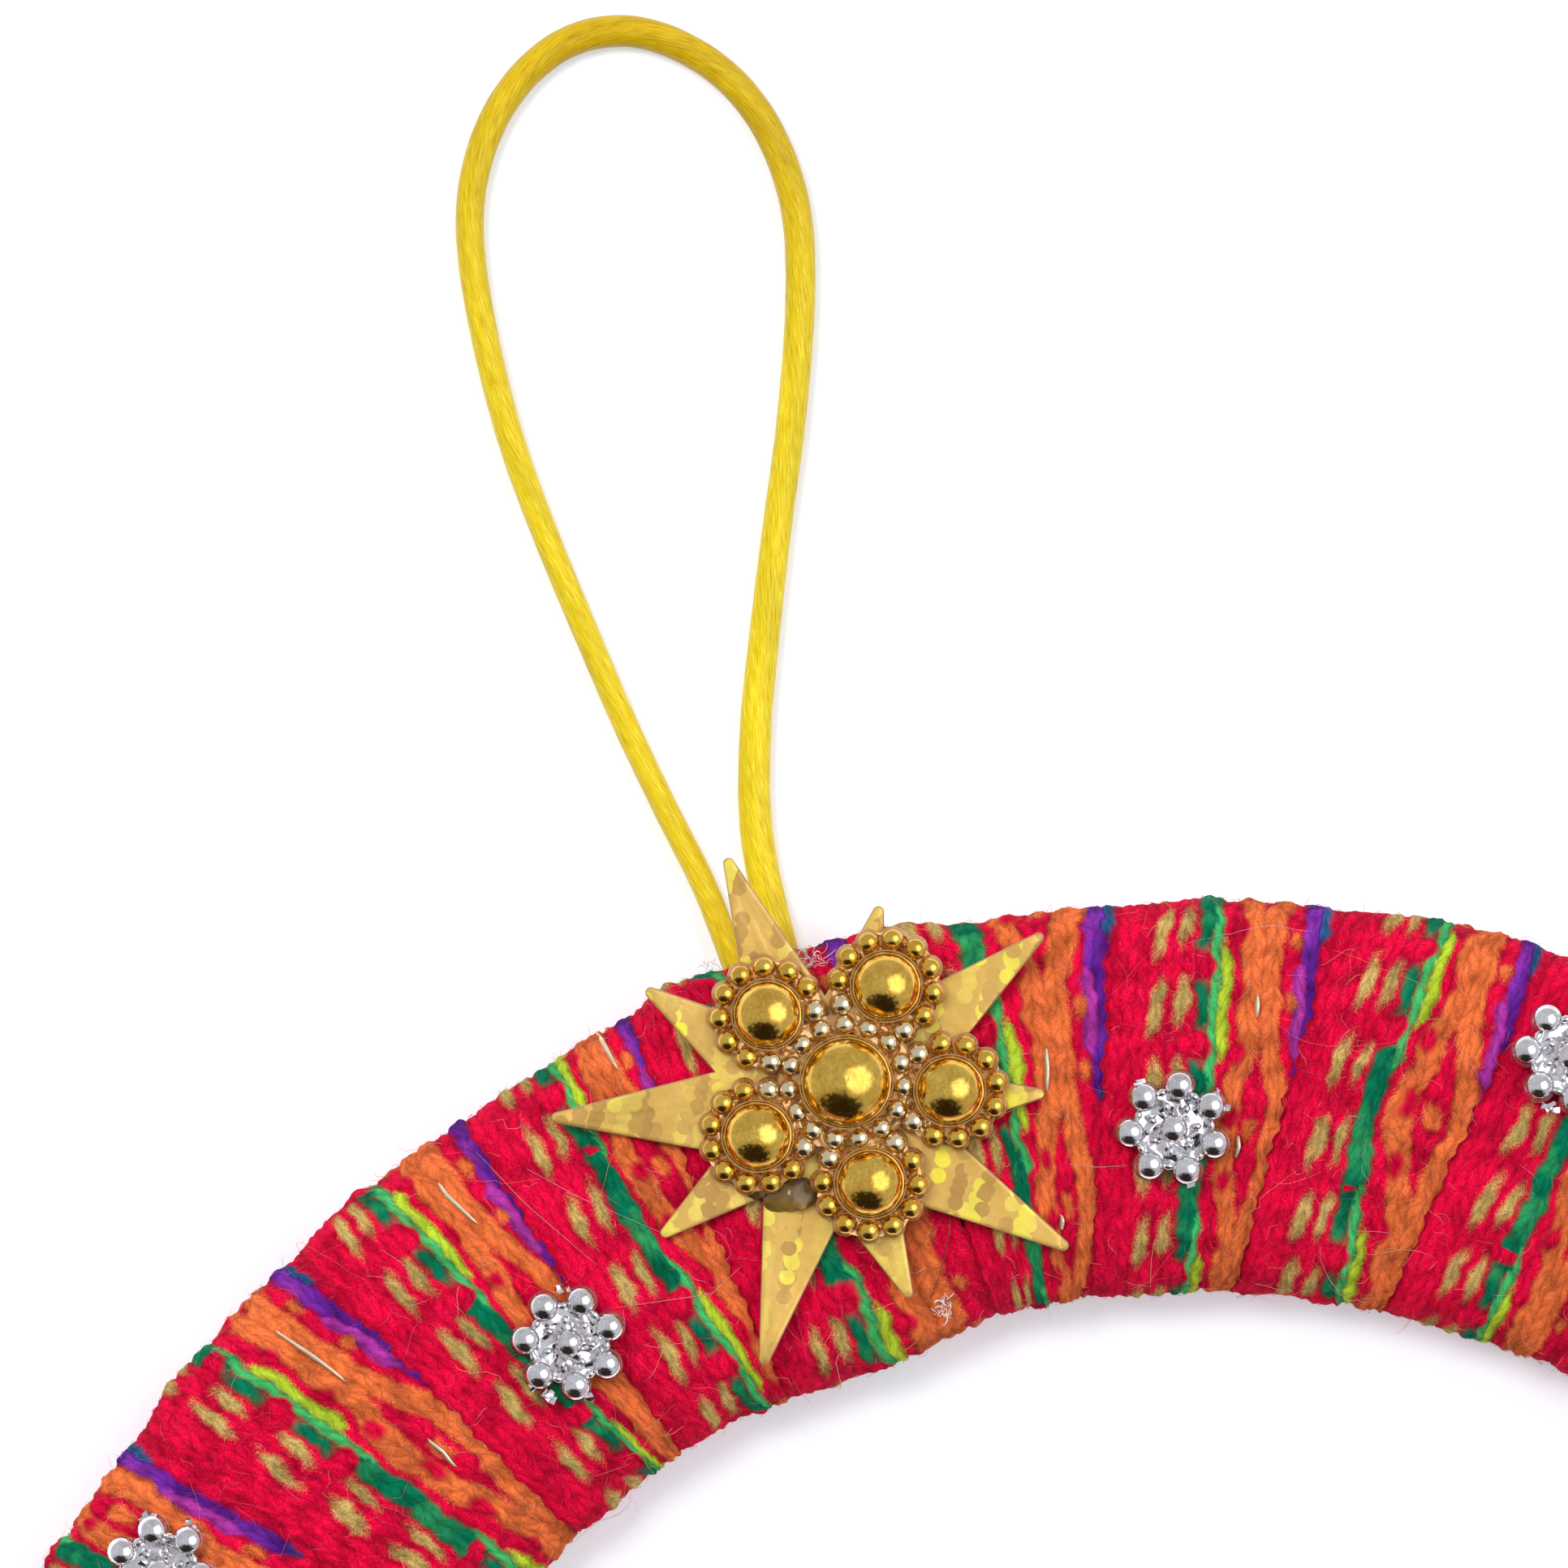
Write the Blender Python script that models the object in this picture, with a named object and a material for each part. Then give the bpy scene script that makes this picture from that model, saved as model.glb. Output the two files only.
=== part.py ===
"""A wreath ornament lying on its back: a padded ring wound with a striped woven strip, a flat gold star with a
moulded bead cluster on it, seventeen moulded bead flowers and a satin cord loop to hang it by.

Metres, +Z up. The flat back lies at z = 0, the star is towards +Y, and the origin is under the middle of the box
round the ring and its star. Angles are clockwise from +Y, seen from above.
"""

import math

import bmesh
import bpy
from mathutils import Vector

MM = 0.001
TOUCH_GAP = 0.3 * MM

# The padded ring, out to the crests of its windings
RING_OUTER_RADIUS = 88.3 * MM
RING_INNER_RADIUS = 61.7 * MM
RING_THICKNESS = 10.0 * MM
SHOULDER_HEIGHT = 4.0 * MM
UNDER_EDGE = 3.5 * MM
CROWN_BREADTH_POWER = 2.6
CROWN_HEIGHT_POWER = 2.2
CROWN_STEPS = 8

# The windings of the strip, each from its raised red edge to the purple edge that the next one covers
WINDING_TURNS = 36
WINDING_RELIEF = 0.6 * MM
FIRST_EDGE = math.radians(4.3)
WINDING_LEAN = math.radians(1.0)
TURN_SHAPE = ((0.0, 0.0), (0.12, 1.0), (0.5, 0.85), (0.82, 0.45))

# The star, cut from gold sheet
STAR_OUT_OF_MIDDLE = 3.5 * MM
STAR_TURN = math.radians(-3.5)
STAR_RAYS = 10
STAR_SHEET = 0.3 * MM
LONG_RAY = 18.4 * MM
SHORT_RAY = 14.3 * MM
LONG_RAY_TAPER = 0.22
SHORT_RAY_TAPER = 0.26
TIP_ROUND = 0.4 * MM
TIP_STEPS = 3

# The bead cluster, one moulding
CLUSTER_ASIDE = 1.8 * MM
CLUSTER_UP = 1.3 * MM
CLUSTER_TURN = math.radians(41.0)
CLUSTER_SKIRT = 0.9 * MM
ROSETTES = 5
ROSETTE_SPREAD = 7.0 * MM
ROSETTE_DOME_RADIUS = 2.2 * MM
ROSETTE_DOME_HEIGHT = 2.1 * MM
ROSETTE_RIM_RADIUS = 3.2 * MM
ROSETTE_BEAD_RADIUS = 0.68 * MM
ROSETTE_BEADS = 11
CENTRE_DOME_RADIUS = 2.95 * MM
CENTRE_DOME_HEIGHT = 2.8 * MM
CENTRE_RIM_RADIUS = 3.9 * MM
CENTRE_BEAD_RADIUS = 0.6 * MM
CENTRE_BEADS = 15

# The bead flowers, small mouldings in two rows along the ring
FLOWER_BEADS = 7
FLOWER_BEAD_RADIUS = 1.05 * MM
FLOWER_RIM_RADIUS = 3.0 * MM
FLOWER_DOME_RADIUS = 0.95 * MM
FLOWER_SKIRT = 0.7 * MM
INNER_ROW = -2.7 * MM
OUTER_ROW = 6.9 * MM
FLOWER_BESIDE_STAR = math.radians(17.3)
SECOND_FLOWER_RIGHT = math.radians(36.4)
SECOND_FLOWER_LEFT = math.radians(39.9)
FLOWERS_ROUND = 15

# The satin cord of the loop: x across the ring's top, y outwards from the ring's outer edge, in millimetres
CORD_DIAMETER = 2.0 * MM
CORD_OFF_FLOOR = 0.05 * MM
CORD_STEP = 2.5 * CORD_DIAMETER
CORD_ROUTE = (
    (-2.6, -8.3),
    (-2.7, -3.3),
    (-2.9, 1.4),
    (-3.2, 7.1),
    (-4.0, 12.6),
    (-4.8, 19.0),
    (-5.4, 26.0),
    (-5.9, 33.0),
    (-6.1, 39.5),
    (-5.7, 46.0),
    (-4.8, 52.2),
    (-3.4, 56.6),
    (-0.9, 60.4),
    (2.4, 63.1),
    (6.2, 64.4),
    (10.0, 63.9),
    (13.2, 61.8),
    (15.8, 58.4),
    (17.2, 54.0),
    (17.2, 48.6),
    (15.5, 42.6),
    (12.5, 35.4),
    (9.3, 28.8),
    (6.3, 22.4),
    (3.4, 15.8),
    (1.4, 9.6),
    (0.6, 3.4),
    (0.4, -2.6),
    (0.4, -8.3),
)
SEAT_CLEARANCE = 0.4 * MM

# Worked out from the sizes above
MIDDLE_RADIUS = (RING_OUTER_RADIUS + RING_INNER_RADIUS) / 2
HALF_BREADTH = (RING_OUTER_RADIUS - RING_INNER_RADIUS) / 2 - WINDING_RELIEF
CROWN_HEIGHT = RING_THICKNESS - WINDING_RELIEF
STAR_RADIUS = MIDDLE_RADIUS + STAR_OUT_OF_MIDDLE
STAR_REACH = max(STAR_RADIUS + LONG_RAY * math.cos(STAR_TURN), RING_OUTER_RADIUS)
RING_CENTRE = Vector((0.0, (RING_OUTER_RADIUS - STAR_REACH) / 2, 0.0))
STAR_BOTTOM = RING_THICKNESS + TOUCH_GAP
CLUSTER_BOTTOM = STAR_BOTTOM + STAR_SHEET + TOUCH_GAP

WOVEN_RED = (0.62, 0.005, 0.035, 1.0)
STAR_GOLD = (0.76, 0.55, 0.13, 1.0)
BEAD_GOLD = (0.72, 0.48, 0.08, 1.0)
BEAD_SILVER = (0.86, 0.87, 0.9, 1.0)
SATIN_YELLOW = (0.86, 0.66, 0.02, 1.0)


def clear_scene():
    for old in list(bpy.data.objects):
        bpy.data.objects.remove(old, do_unlink=True)


def finish(name, colour, roughness, metallic):
    """A plain material for one kind of piece."""
    material = bpy.data.materials.new(name)
    material.use_nodes = True
    shader = material.node_tree.nodes["Principled BSDF"]
    shader.inputs["Base Color"].default_value = colour
    shader.inputs["Roughness"].default_value = roughness
    shader.inputs["Metallic"].default_value = metallic
    return material


def on_ring(radius, angle, height=0.0):
    """The point at this radius and clockwise angle from the ring's centre."""
    return RING_CENTRE + Vector((radius * math.sin(angle), radius * math.cos(angle), height))


def piece(name, mesh, material=None):
    """An object of this mesh in the scene."""
    thing = bpy.data.objects.new(name, mesh)
    bpy.context.scene.collection.objects.link(thing)
    if material is not None and not mesh.materials:
        mesh.materials.append(material)
    return thing


def closed_mesh(name, points, faces, smooth_angle=math.radians(40)):
    """A mesh with its faces pointing out."""
    bm = bmesh.new()
    verts = [bm.verts.new(point) for point in points]
    for face in faces:
        bm.faces.new([verts[corner] for corner in face])
    bmesh.ops.recalc_face_normals(bm, faces=bm.faces)
    mesh = bpy.data.meshes.new(name)
    bm.to_mesh(mesh)
    bm.free()
    mesh.shade_smooth()
    mesh.set_sharp_from_angle(angle=smooth_angle)
    return mesh


def join_solid(target, other, operation):
    """Adds the other solid to the target, or cuts it away. The other one stays as a hidden guide."""
    other.hide_render = True
    other.display_type = "WIRE"
    boolean = target.modifiers.new(other.name, "BOOLEAN")
    boolean.operation = operation
    boolean.object = other
    boolean.solver = "EXACT"


def crown_height(offset):
    """Height of the ring's top, without the windings' relief, at this distance out from its middle line."""
    share = max(0.0, 1.0 - abs(offset / HALF_BREADTH) ** CROWN_BREADTH_POWER)
    return SHOULDER_HEIGHT + (CROWN_HEIGHT - SHOULDER_HEIGHT) * share ** (1.0 / CROWN_HEIGHT_POWER)


def crown_slope(offset):
    """How steeply the crown falls outwards there, as an angle."""
    reach = 0.5 * MM
    fall = crown_height(offset - reach) - crown_height(offset + reach)
    return math.atan2(fall, 2 * reach)


def ring_section():
    """(offset, height, share of the relief) round the ring's section, from its flat back's inner edge."""
    half_back = HALF_BREADTH - UNDER_EDGE
    bend = math.sin(math.radians(45))
    under = (half_back + UNDER_EDGE * bend, SHOULDER_HEIGHT * (1 - bend), 0.5)
    section = [(-half_back, 0.0, 0.0), (half_back, 0.0, 0.0), under]
    for step in range(CROWN_STEPS + 1):
        turn = math.pi * step / CROWN_STEPS
        share = abs(math.cos(turn)) ** (2.0 / CROWN_BREADTH_POWER)
        offset = math.copysign(HALF_BREADTH * share, math.cos(turn))
        section.append((offset, crown_height(offset), 1.0))
    section.append((-under[0], under[1], under[2]))
    return section


def section_normals(section):
    """The outward direction at each point of the section."""
    normals = []
    for index in range(len(section)):
        before = section[index - 1]
        after = section[(index + 1) % len(section)]
        along = Vector((after[0] - before[0], after[1] - before[1])).normalized()
        normals.append(Vector((along.y, -along.x)))
    return normals


def make_ring(material):
    """The padded ring, with a ridge for each winding and a seat in its back for the cord's two ends."""
    section = ring_section()
    normals = section_normals(section)
    pitch = math.tau / WINDING_TURNS
    points = []
    for turn in range(WINDING_TURNS):
        for phase, rise in TURN_SHAPE:
            angle = FIRST_EDGE + pitch * (turn + phase)
            for (offset, height, share), normal in zip(section, normals):
                lift = WINDING_RELIEF * rise * share
                out = offset + lift * normal.x
                lean = WINDING_LEAN * (HALF_BREADTH - offset) / (2 * HALF_BREADTH)
                points.append(on_ring(MIDDLE_RADIUS + out, angle - lean, height + lift * normal.y))
    columns = WINDING_TURNS * len(TURN_SHAPE)
    around = len(section)
    faces = []
    for column in range(columns):
        here = column * around
        ahead = (column + 1) % columns * around
        for index in range(around):
            following = (index + 1) % around
            faces.append((here + index, here + following, ahead + following, ahead + index))
    ring = piece("wreath_ring", closed_mesh("wreath_ring", points, faces), material)
    join_solid(ring, cord_seat(), "DIFFERENCE")
    return ring


def route_point(place):
    """A point of the cord's route, which is given from the ring's outer edge, in metres."""
    across, outwards = place
    height = CORD_OFF_FLOOR + CORD_DIAMETER / 2
    return RING_CENTRE + Vector((across * MM, RING_OUTER_RADIUS + outwards * MM, height))


def cord_seat():
    """The shallow channel in the ring's back, from its outer edge to past the cord's ends."""
    ends = [route_point(CORD_ROUTE[0]), route_point(CORD_ROUTE[-1])]
    margin = CORD_DIAMETER / 2 + SEAT_CLEARANCE
    left = min(end.x for end in ends) - margin
    right = max(end.x for end in ends) + margin
    inner = min(end.y for end in ends) - SEAT_CLEARANCE
    outer = RING_CENTRE.y + RING_OUTER_RADIUS + SEAT_CLEARANCE
    roof = CORD_OFF_FLOOR + CORD_DIAMETER + SEAT_CLEARANCE
    bm = bmesh.new()
    bmesh.ops.create_cube(bm, size=1.0)
    for vert in bm.verts:
        vert.co.x = left if vert.co.x < 0 else right
        vert.co.y = inner if vert.co.y < 0 else outer
        vert.co.z = -roof if vert.co.z < 0 else roof
    mesh = bpy.data.meshes.new("cord_seat")
    bm.to_mesh(mesh)
    bm.free()
    return piece("cord_seat", mesh)


def smooth_route():
    """Points along a smooth curve through the route, about CORD_STEP apart."""
    route = [route_point(place) for place in CORD_ROUTE]
    fine = 16
    dense = []
    for index in range(len(route) - 1):
        start, end = route[index], route[index + 1]
        before = route[index - 1] if index > 0 else start * 2 - end
        after = route[index + 2] if index + 2 < len(route) else end * 2 - start
        for step in range(fine):
            t = step / fine
            bend = 2 * before - 5 * start + 4 * end - after
            twist = 3 * start - before - 3 * end + after
            dense.append((2 * start + (end - before) * t + bend * t**2 + twist * t**3) / 2)
    dense.append(route[-1])
    travelled = [0.0]
    for start, end in zip(dense, dense[1:]):
        travelled.append(travelled[-1] + (end - start).length)
    count = round(travelled[-1] / CORD_STEP)
    points = [dense[0]]
    for number in range(1, count):
        target = travelled[-1] * number / count
        index = next(i for i, reached in enumerate(travelled) if reached >= target)
        share = (target - travelled[index - 1]) / (travelled[index] - travelled[index - 1])
        points.append(dense[index - 1].lerp(dense[index], share))
    points.append(dense[-1])
    return points


def make_cord(material):
    """The hanging loop, one cord that lies flat and goes back under the ring at both ends."""
    curve = bpy.data.curves.new("hanging_cord", "CURVE")
    curve.dimensions = "3D"
    curve.bevel_depth = CORD_DIAMETER / 2
    curve.bevel_resolution = 2
    curve.use_fill_caps = True
    points = smooth_route()
    spline = curve.splines.new("POLY")
    spline.points.add(len(points) - 1)
    for target, point in zip(spline.points, points):
        target.co = (*point, 1.0)
    curve.materials.append(material)
    cord = bpy.data.objects.new("hanging_cord", curve)
    bpy.context.scene.collection.objects.link(cord)
    return cord


def star_ray(length, taper):
    """(tip arc, a point on the ray's side line, its direction) of a ray along +Y, on its clockwise side first."""
    half_angle = math.atan(taper)
    arc_centre = length - TIP_ROUND
    sweep = math.pi / 2 - half_angle
    arc = []
    for step in range(TIP_STEPS + 1):
        turn = -sweep + 2 * sweep * step / TIP_STEPS
        arc.append((TIP_ROUND * math.sin(turn), arc_centre + TIP_ROUND * math.cos(turn)))
    return arc, Vector(arc[-1]), Vector((taper, -1.0))


def turned(point, angle):
    """A flat point turned clockwise round the centre."""
    x, y = point
    return Vector((x * math.cos(angle) + y * math.sin(angle), y * math.cos(angle) - x * math.sin(angle)))


def mirrored(point):
    return Vector((-point[0], point[1]))


def meeting_point(start, along, other_start, other_along):
    """Where two flat lines cross."""
    cross = along.x * other_along.y - along.y * other_along.x
    between = other_start - start
    share = (between.x * other_along.y - between.y * other_along.x) / cross
    return start + along * share


def star_outline():
    """The star's outline, clockwise: the round tip of each ray, then the notch before the next."""
    kinds = (star_ray(LONG_RAY, LONG_RAY_TAPER), star_ray(SHORT_RAY, SHORT_RAY_TAPER))
    step = math.tau / STAR_RAYS
    outline = []
    for ray in range(STAR_RAYS):
        arc, side, along = kinds[ray % 2]
        _, next_side, next_along = kinds[(ray + 1) % 2]
        angle = step * ray
        outline += [turned(point, angle) for point in arc]
        notch = meeting_point(
            turned(side, angle),
            turned(along, angle),
            turned(mirrored(next_side), angle + step),
            turned(mirrored(next_along), angle + step),
        )
        outline.append(notch)
    return outline


def make_star(material):
    """The flat star, level above the ring's crown."""
    outline = star_outline()
    count = len(outline)
    points = [(p.x, p.y, 0.0) for p in outline] + [(p.x, p.y, STAR_SHEET) for p in outline]
    faces = [tuple(range(count)), tuple(range(2 * count - 1, count - 1, -1))]
    for index in range(count):
        following = (index + 1) % count
        faces.append((index, following, count + following, count + index))
    star = piece("gold_star", closed_mesh("gold_star", points, faces), material)
    star.location = on_ring(STAR_RADIUS, 0.0, STAR_BOTTOM)
    star.rotation_euler.z = -STAR_TURN
    return star


def rosette_mesh(name, dome_radius, dome_height, rim_radius, bead_radius, beads, skirt):
    """A dome inside a ring of beads, moulded as one on a thin skirt, with its back at z = 0."""
    around = 2 * beads
    shoulder = 0.7
    between_beads = 0.35
    rings = [
        [(dome_radius * shoulder, skirt + dome_height * math.sqrt(1 - shoulder**2))] * around,
        [(dome_radius, skirt)] * around,
        [(max(rim_radius - bead_radius, dome_radius * 1.05), skirt)] * around,
    ]
    crest = []
    outside = []
    for index in range(around):
        on_bead = index % 2 == 0
        rise = bead_radius if on_bead else bead_radius * between_beads
        crest.append((rim_radius, skirt + rise))
        outside.append((rim_radius + rise, skirt))
    rings += [crest, outside, [(radius, 0.0) for radius, _ in outside]]
    points = [(0.0, 0.0, skirt + dome_height)]
    for ring in rings:
        for index, (radius, height) in enumerate(ring):
            angle = math.tau * index / around
            points.append((radius * math.sin(angle), radius * math.cos(angle), height))
    faces = []
    for index in range(around):
        following = (index + 1) % around
        faces.append((0, 1 + index, 1 + following))
        for ring in range(len(rings) - 1):
            upper, lower = 1 + ring * around, 1 + (ring + 1) * around
            faces.append((upper + index, lower + index, lower + following, upper + following))
    back = 1 + (len(rings) - 1) * around
    faces.append(tuple(range(back, back + around)))
    return closed_mesh(name, points, faces)


def make_cluster(material):
    """The bead cluster: five rosettes joined to the one in the middle."""
    centre_mesh = rosette_mesh(
        "bead_cluster",
        CENTRE_DOME_RADIUS,
        CENTRE_DOME_HEIGHT,
        CENTRE_RIM_RADIUS,
        CENTRE_BEAD_RADIUS,
        CENTRE_BEADS,
        CLUSTER_SKIRT,
    )
    rosette = rosette_mesh(
        "rosette",
        ROSETTE_DOME_RADIUS,
        ROSETTE_DOME_HEIGHT,
        ROSETTE_RIM_RADIUS,
        ROSETTE_BEAD_RADIUS,
        ROSETTE_BEADS,
        CLUSTER_SKIRT,
    )
    cluster = piece("bead_cluster", centre_mesh, material)
    middle = on_ring(STAR_RADIUS, 0.0, CLUSTER_BOTTOM) + Vector((CLUSTER_ASIDE, CLUSTER_UP, 0.0))
    cluster.location = middle
    for number in range(ROSETTES):
        angle = CLUSTER_TURN + math.tau * number / ROSETTES
        guide = piece(f"rosette_{number + 1}", rosette, material)
        guide.location = middle + Vector((math.sin(angle), math.cos(angle), 0.0)) * ROSETTE_SPREAD
        guide.rotation_euler.z = -angle
        join_solid(cluster, guide, "UNION")
    return cluster


def flower_places():
    """(angle, row) of each flower: two beside the star, then the others round the rest of the ring."""
    places = [(-FLOWER_BESIDE_STAR, INNER_ROW), (FLOWER_BESIDE_STAR, INNER_ROW)]
    step = (math.tau - SECOND_FLOWER_RIGHT - SECOND_FLOWER_LEFT) / (FLOWERS_ROUND - 1)
    for number in range(FLOWERS_ROUND):
        row = OUTER_ROW if number % 2 == 0 else INNER_ROW
        places.append((SECOND_FLOWER_RIGHT + step * number, row))
    return places


def make_flowers(material):
    """The bead flowers, each leaning outwards or inwards as the crown does under it."""
    mesh = rosette_mesh(
        "silver_flower",
        FLOWER_DOME_RADIUS,
        FLOWER_BEAD_RADIUS,
        FLOWER_RIM_RADIUS,
        FLOWER_BEAD_RADIUS,
        FLOWER_BEADS,
        FLOWER_SKIRT,
    )
    flowers = []
    for number, (angle, row) in enumerate(flower_places(), start=1):
        flower = piece(f"silver_flower_{number:02d}", mesh, material)
        clear = WINDING_RELIEF + TOUCH_GAP
        flower.location = on_ring(MIDDLE_RADIUS + row, angle, crown_height(row) + clear)
        flower.rotation_euler = (-crown_slope(row), 0.0, -angle)
        flowers.append(flower)
    return flowers


def main():
    clear_scene()
    make_ring(finish("woven_strip", WOVEN_RED, 0.95, 0.0))
    make_star(finish("gold_sheet", STAR_GOLD, 0.3, 0.6))
    make_cluster(finish("gold_plated_beads", BEAD_GOLD, 0.15, 1.0))
    make_flowers(finish("silver_plated_beads", BEAD_SILVER, 0.12, 1.0))
    make_cord(finish("satin_cord", SATIN_YELLOW, 0.4, 0.0))
    bpy.context.view_layer.update()


main()
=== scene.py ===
# %% [markdown]
# # A wreath ornament wound with a striped strip
#
# The real thing is a padded ring of about 18 cm. A long strip of striped woollen cloth is wound round it, a
# flat gold star with a cluster of gold beads is glued on, small silver bead flowers go round it, and it
# hangs by a loop of yellow satin cord. Here it lies on its back on white paper, and the camera looks
# straight down on its top left.
#
# Every size below is in millimetres, because that is how such a small thing is measured. One function turns
# them to metres when it makes a mesh. Angles are in degrees, clockwise from +Y, where the star is.

# %% The frame of the solid model
import math
from functools import partial

import bpy
import numpy as np
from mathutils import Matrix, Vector


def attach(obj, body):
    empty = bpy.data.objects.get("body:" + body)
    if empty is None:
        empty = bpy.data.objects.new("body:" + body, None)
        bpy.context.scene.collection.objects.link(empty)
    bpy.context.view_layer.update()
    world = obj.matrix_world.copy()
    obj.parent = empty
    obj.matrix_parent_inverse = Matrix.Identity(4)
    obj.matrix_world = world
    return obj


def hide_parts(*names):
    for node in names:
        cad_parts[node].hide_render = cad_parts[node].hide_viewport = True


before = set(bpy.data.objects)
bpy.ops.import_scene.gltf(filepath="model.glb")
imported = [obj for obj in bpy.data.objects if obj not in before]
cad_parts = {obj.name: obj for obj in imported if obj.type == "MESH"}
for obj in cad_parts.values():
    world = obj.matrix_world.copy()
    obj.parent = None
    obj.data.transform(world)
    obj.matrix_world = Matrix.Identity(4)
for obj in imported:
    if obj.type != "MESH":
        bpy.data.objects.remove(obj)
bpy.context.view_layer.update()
scene = bpy.context.scene
MM = 0.001

# %% [markdown]
# ## The sizes that everything hangs on
#
# The ring's circle, its section and the star's place are the same as in the solid model. The ring's centre
# lies a little below the origin, because the origin is in the middle of the ring and the star together.

# %% The ring and the star's place
RING_OUTER_RADIUS = 88.3
RING_INNER_RADIUS = 61.7
RING_THICKNESS = 10.0
SHOULDER_HEIGHT = 4.0
UNDER_EDGE = 3.5
WINDING_RELIEF = 0.6
TOUCH_GAP = 0.3
STAR_TURN = -3.5
LONG_RAY = 18.4
STAR_RADIUS = (RING_OUTER_RADIUS + RING_INNER_RADIUS) / 2 + 3.5

MIDDLE_RADIUS = (RING_OUTER_RADIUS + RING_INNER_RADIUS) / 2
HALF_BREADTH = (RING_OUTER_RADIUS - RING_INNER_RADIUS) / 2 - WINDING_RELIEF
CROWN_HEIGHT = RING_THICKNESS - WINDING_RELIEF
STAR_REACH = max(STAR_RADIUS + LONG_RAY * math.cos(math.radians(STAR_TURN)), RING_OUTER_RADIUS)
RING_CENTRE_Y = (RING_OUTER_RADIUS - STAR_REACH) / 2
STAR_BOTTOM = RING_THICKNESS + TOUCH_GAP
print(f"ring centre y {RING_CENTRE_Y:.2f}, star at radius {STAR_RADIUS:.1f}, underside at {STAR_BOTTOM:.1f}")


# %% Places on the ring
CROWN_ACROSS = 2.6
CROWN_UP = 2.2


def on_ring(radius, angle, height=0.0):
    """The point at this radius and clockwise angle from the ring's centre."""
    turn = math.radians(angle)
    return Vector((radius * math.sin(turn), RING_CENTRE_Y + radius * math.cos(turn), height))


def crown_height(offset):
    """How high the padding's top is at this distance out from the ring's middle line."""
    share = np.clip(1.0 - np.abs(offset / HALF_BREADTH) ** CROWN_ACROSS, 0.0, 1.0)
    return SHOULDER_HEIGHT + (CROWN_HEIGHT - SHOULDER_HEIGHT) * share ** (1 / CROWN_UP)


def crown_slope(offset):
    """How steeply the crown falls outwards there, in radians."""
    return math.atan2(crown_height(offset - 0.5) - crown_height(offset + 0.5), 1.0)


# %% [markdown]
# ## The camera
#
# The photograph is a close view from straight above, so the camera looks down its own -Z and only turns
# about it: the ring's top leans to the left in the picture. A long lens keeps the ring's sides out of
# sight. Things seen in the photograph are placed by their pixel in its frame of 1932 by 1932, and a
# function turns those pixels to places.

# %% The camera over the star
PICTURE_SIZE = 1932
MM_PER_PIXEL = 0.055
RING_CENTRE_PIXEL = (1468, 2718)
PICTURE_TURN = math.radians(18.37)
SENSOR = 36.0
LENS = 400.0
FOCUS_HEIGHT = 5.0


def at_pixel(across, down, height=0.0):
    """The point over which a pixel of the photograph lies."""
    right = (across - RING_CENTRE_PIXEL[0]) * MM_PER_PIXEL
    up = (RING_CENTRE_PIXEL[1] - down) * MM_PER_PIXEL
    x = right * math.cos(PICTURE_TURN) + up * math.sin(PICTURE_TURN)
    y = up * math.cos(PICTURE_TURN) - right * math.sin(PICTURE_TURN)
    return Vector((x, RING_CENTRE_Y + y, height))


camera = bpy.data.objects.new("overhead_camera", bpy.data.cameras.new("overhead_camera"))
scene.collection.objects.link(camera)
scene.camera = camera
camera.data.lens = LENS
camera.data.sensor_width = SENSOR
camera_distance = PICTURE_SIZE * MM_PER_PIXEL * LENS / SENSOR
middle = (PICTURE_SIZE - 1) / 2
camera.location = at_pixel(middle, middle, FOCUS_HEIGHT + camera_distance) * MM
camera.rotation_euler = (0.0, 0.0, -PICTURE_TURN)
print("camera at, mm:", [round(value / MM, 1) for value in camera.location])

# %% [markdown]
# ## Colours, nodes and pieces
#
# Colours are written as sRGB hex values, as a colour picker gives them. Blender's shaders work in linear
# light, so one function converts them. Another adds a node with its settings and links and gives its
# output, which keeps a material short enough to read as a recipe. `begin_material` ties it to the
# material's own nodes and hands it over as `node`. Several finishes here are alike in one way: two close
# colours that cloud into each other, with a faint relief that follows the clouds. One function makes all
# of these.


# %% Colours and nodes
def linear(hex_colour):
    """An sRGB hex value such as #d81e3c as a linear colour."""
    shares = [int(hex_colour[place : place + 2], 16) / 255 for place in (1, 3, 5)]
    bent = [share / 12.92 if share <= 0.04045 else ((share + 0.055) / 1.055) ** 2.4 for share in shares]
    return (*bent, 1.0)


def evenly(colours):
    """These colours as the stops of a colour ramp, in even steps from 0 to 1."""
    return [(number / (len(colours) - 1), colour) for number, colour in enumerate(colours)]


def add(tree, kind, feeds=None, output=0, stops=(), **settings):
    """Adds a shader node with its settings, and a colour ramp's stops, and gives one of its outputs.

    Each of its feeds is a value, or the socket that the input takes it from.
    """
    made = tree.nodes.new("ShaderNode" + kind)
    for name, value in settings.items():
        setattr(made, name, value)
    for name, value in (feeds or {}).items():
        if isinstance(value, bpy.types.NodeSocket):
            tree.links.new(value, made.inputs[name])
        else:
            made.inputs[name].default_value = value
    if stops:
        ramp = made.color_ramp.elements
        ramp.remove(ramp[1])
        ramp[0].position = stops[0][0]
        ramp[0].color = linear(stops[0][1])
        for place, colour in stops[1:]:
            ramp.new(place).color = linear(colour)
    return made.outputs[output]


def begin_material(name, sockets):
    """A new material with these values on its shader's own sockets, and a function that adds nodes to it."""
    material = bpy.data.materials.new(name)
    material.use_nodes = True
    for socket, value in sockets.items():
        material.node_tree.nodes["Principled BSDF"].inputs[socket].default_value = value
    return material, partial(add, material.node_tree)


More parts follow.
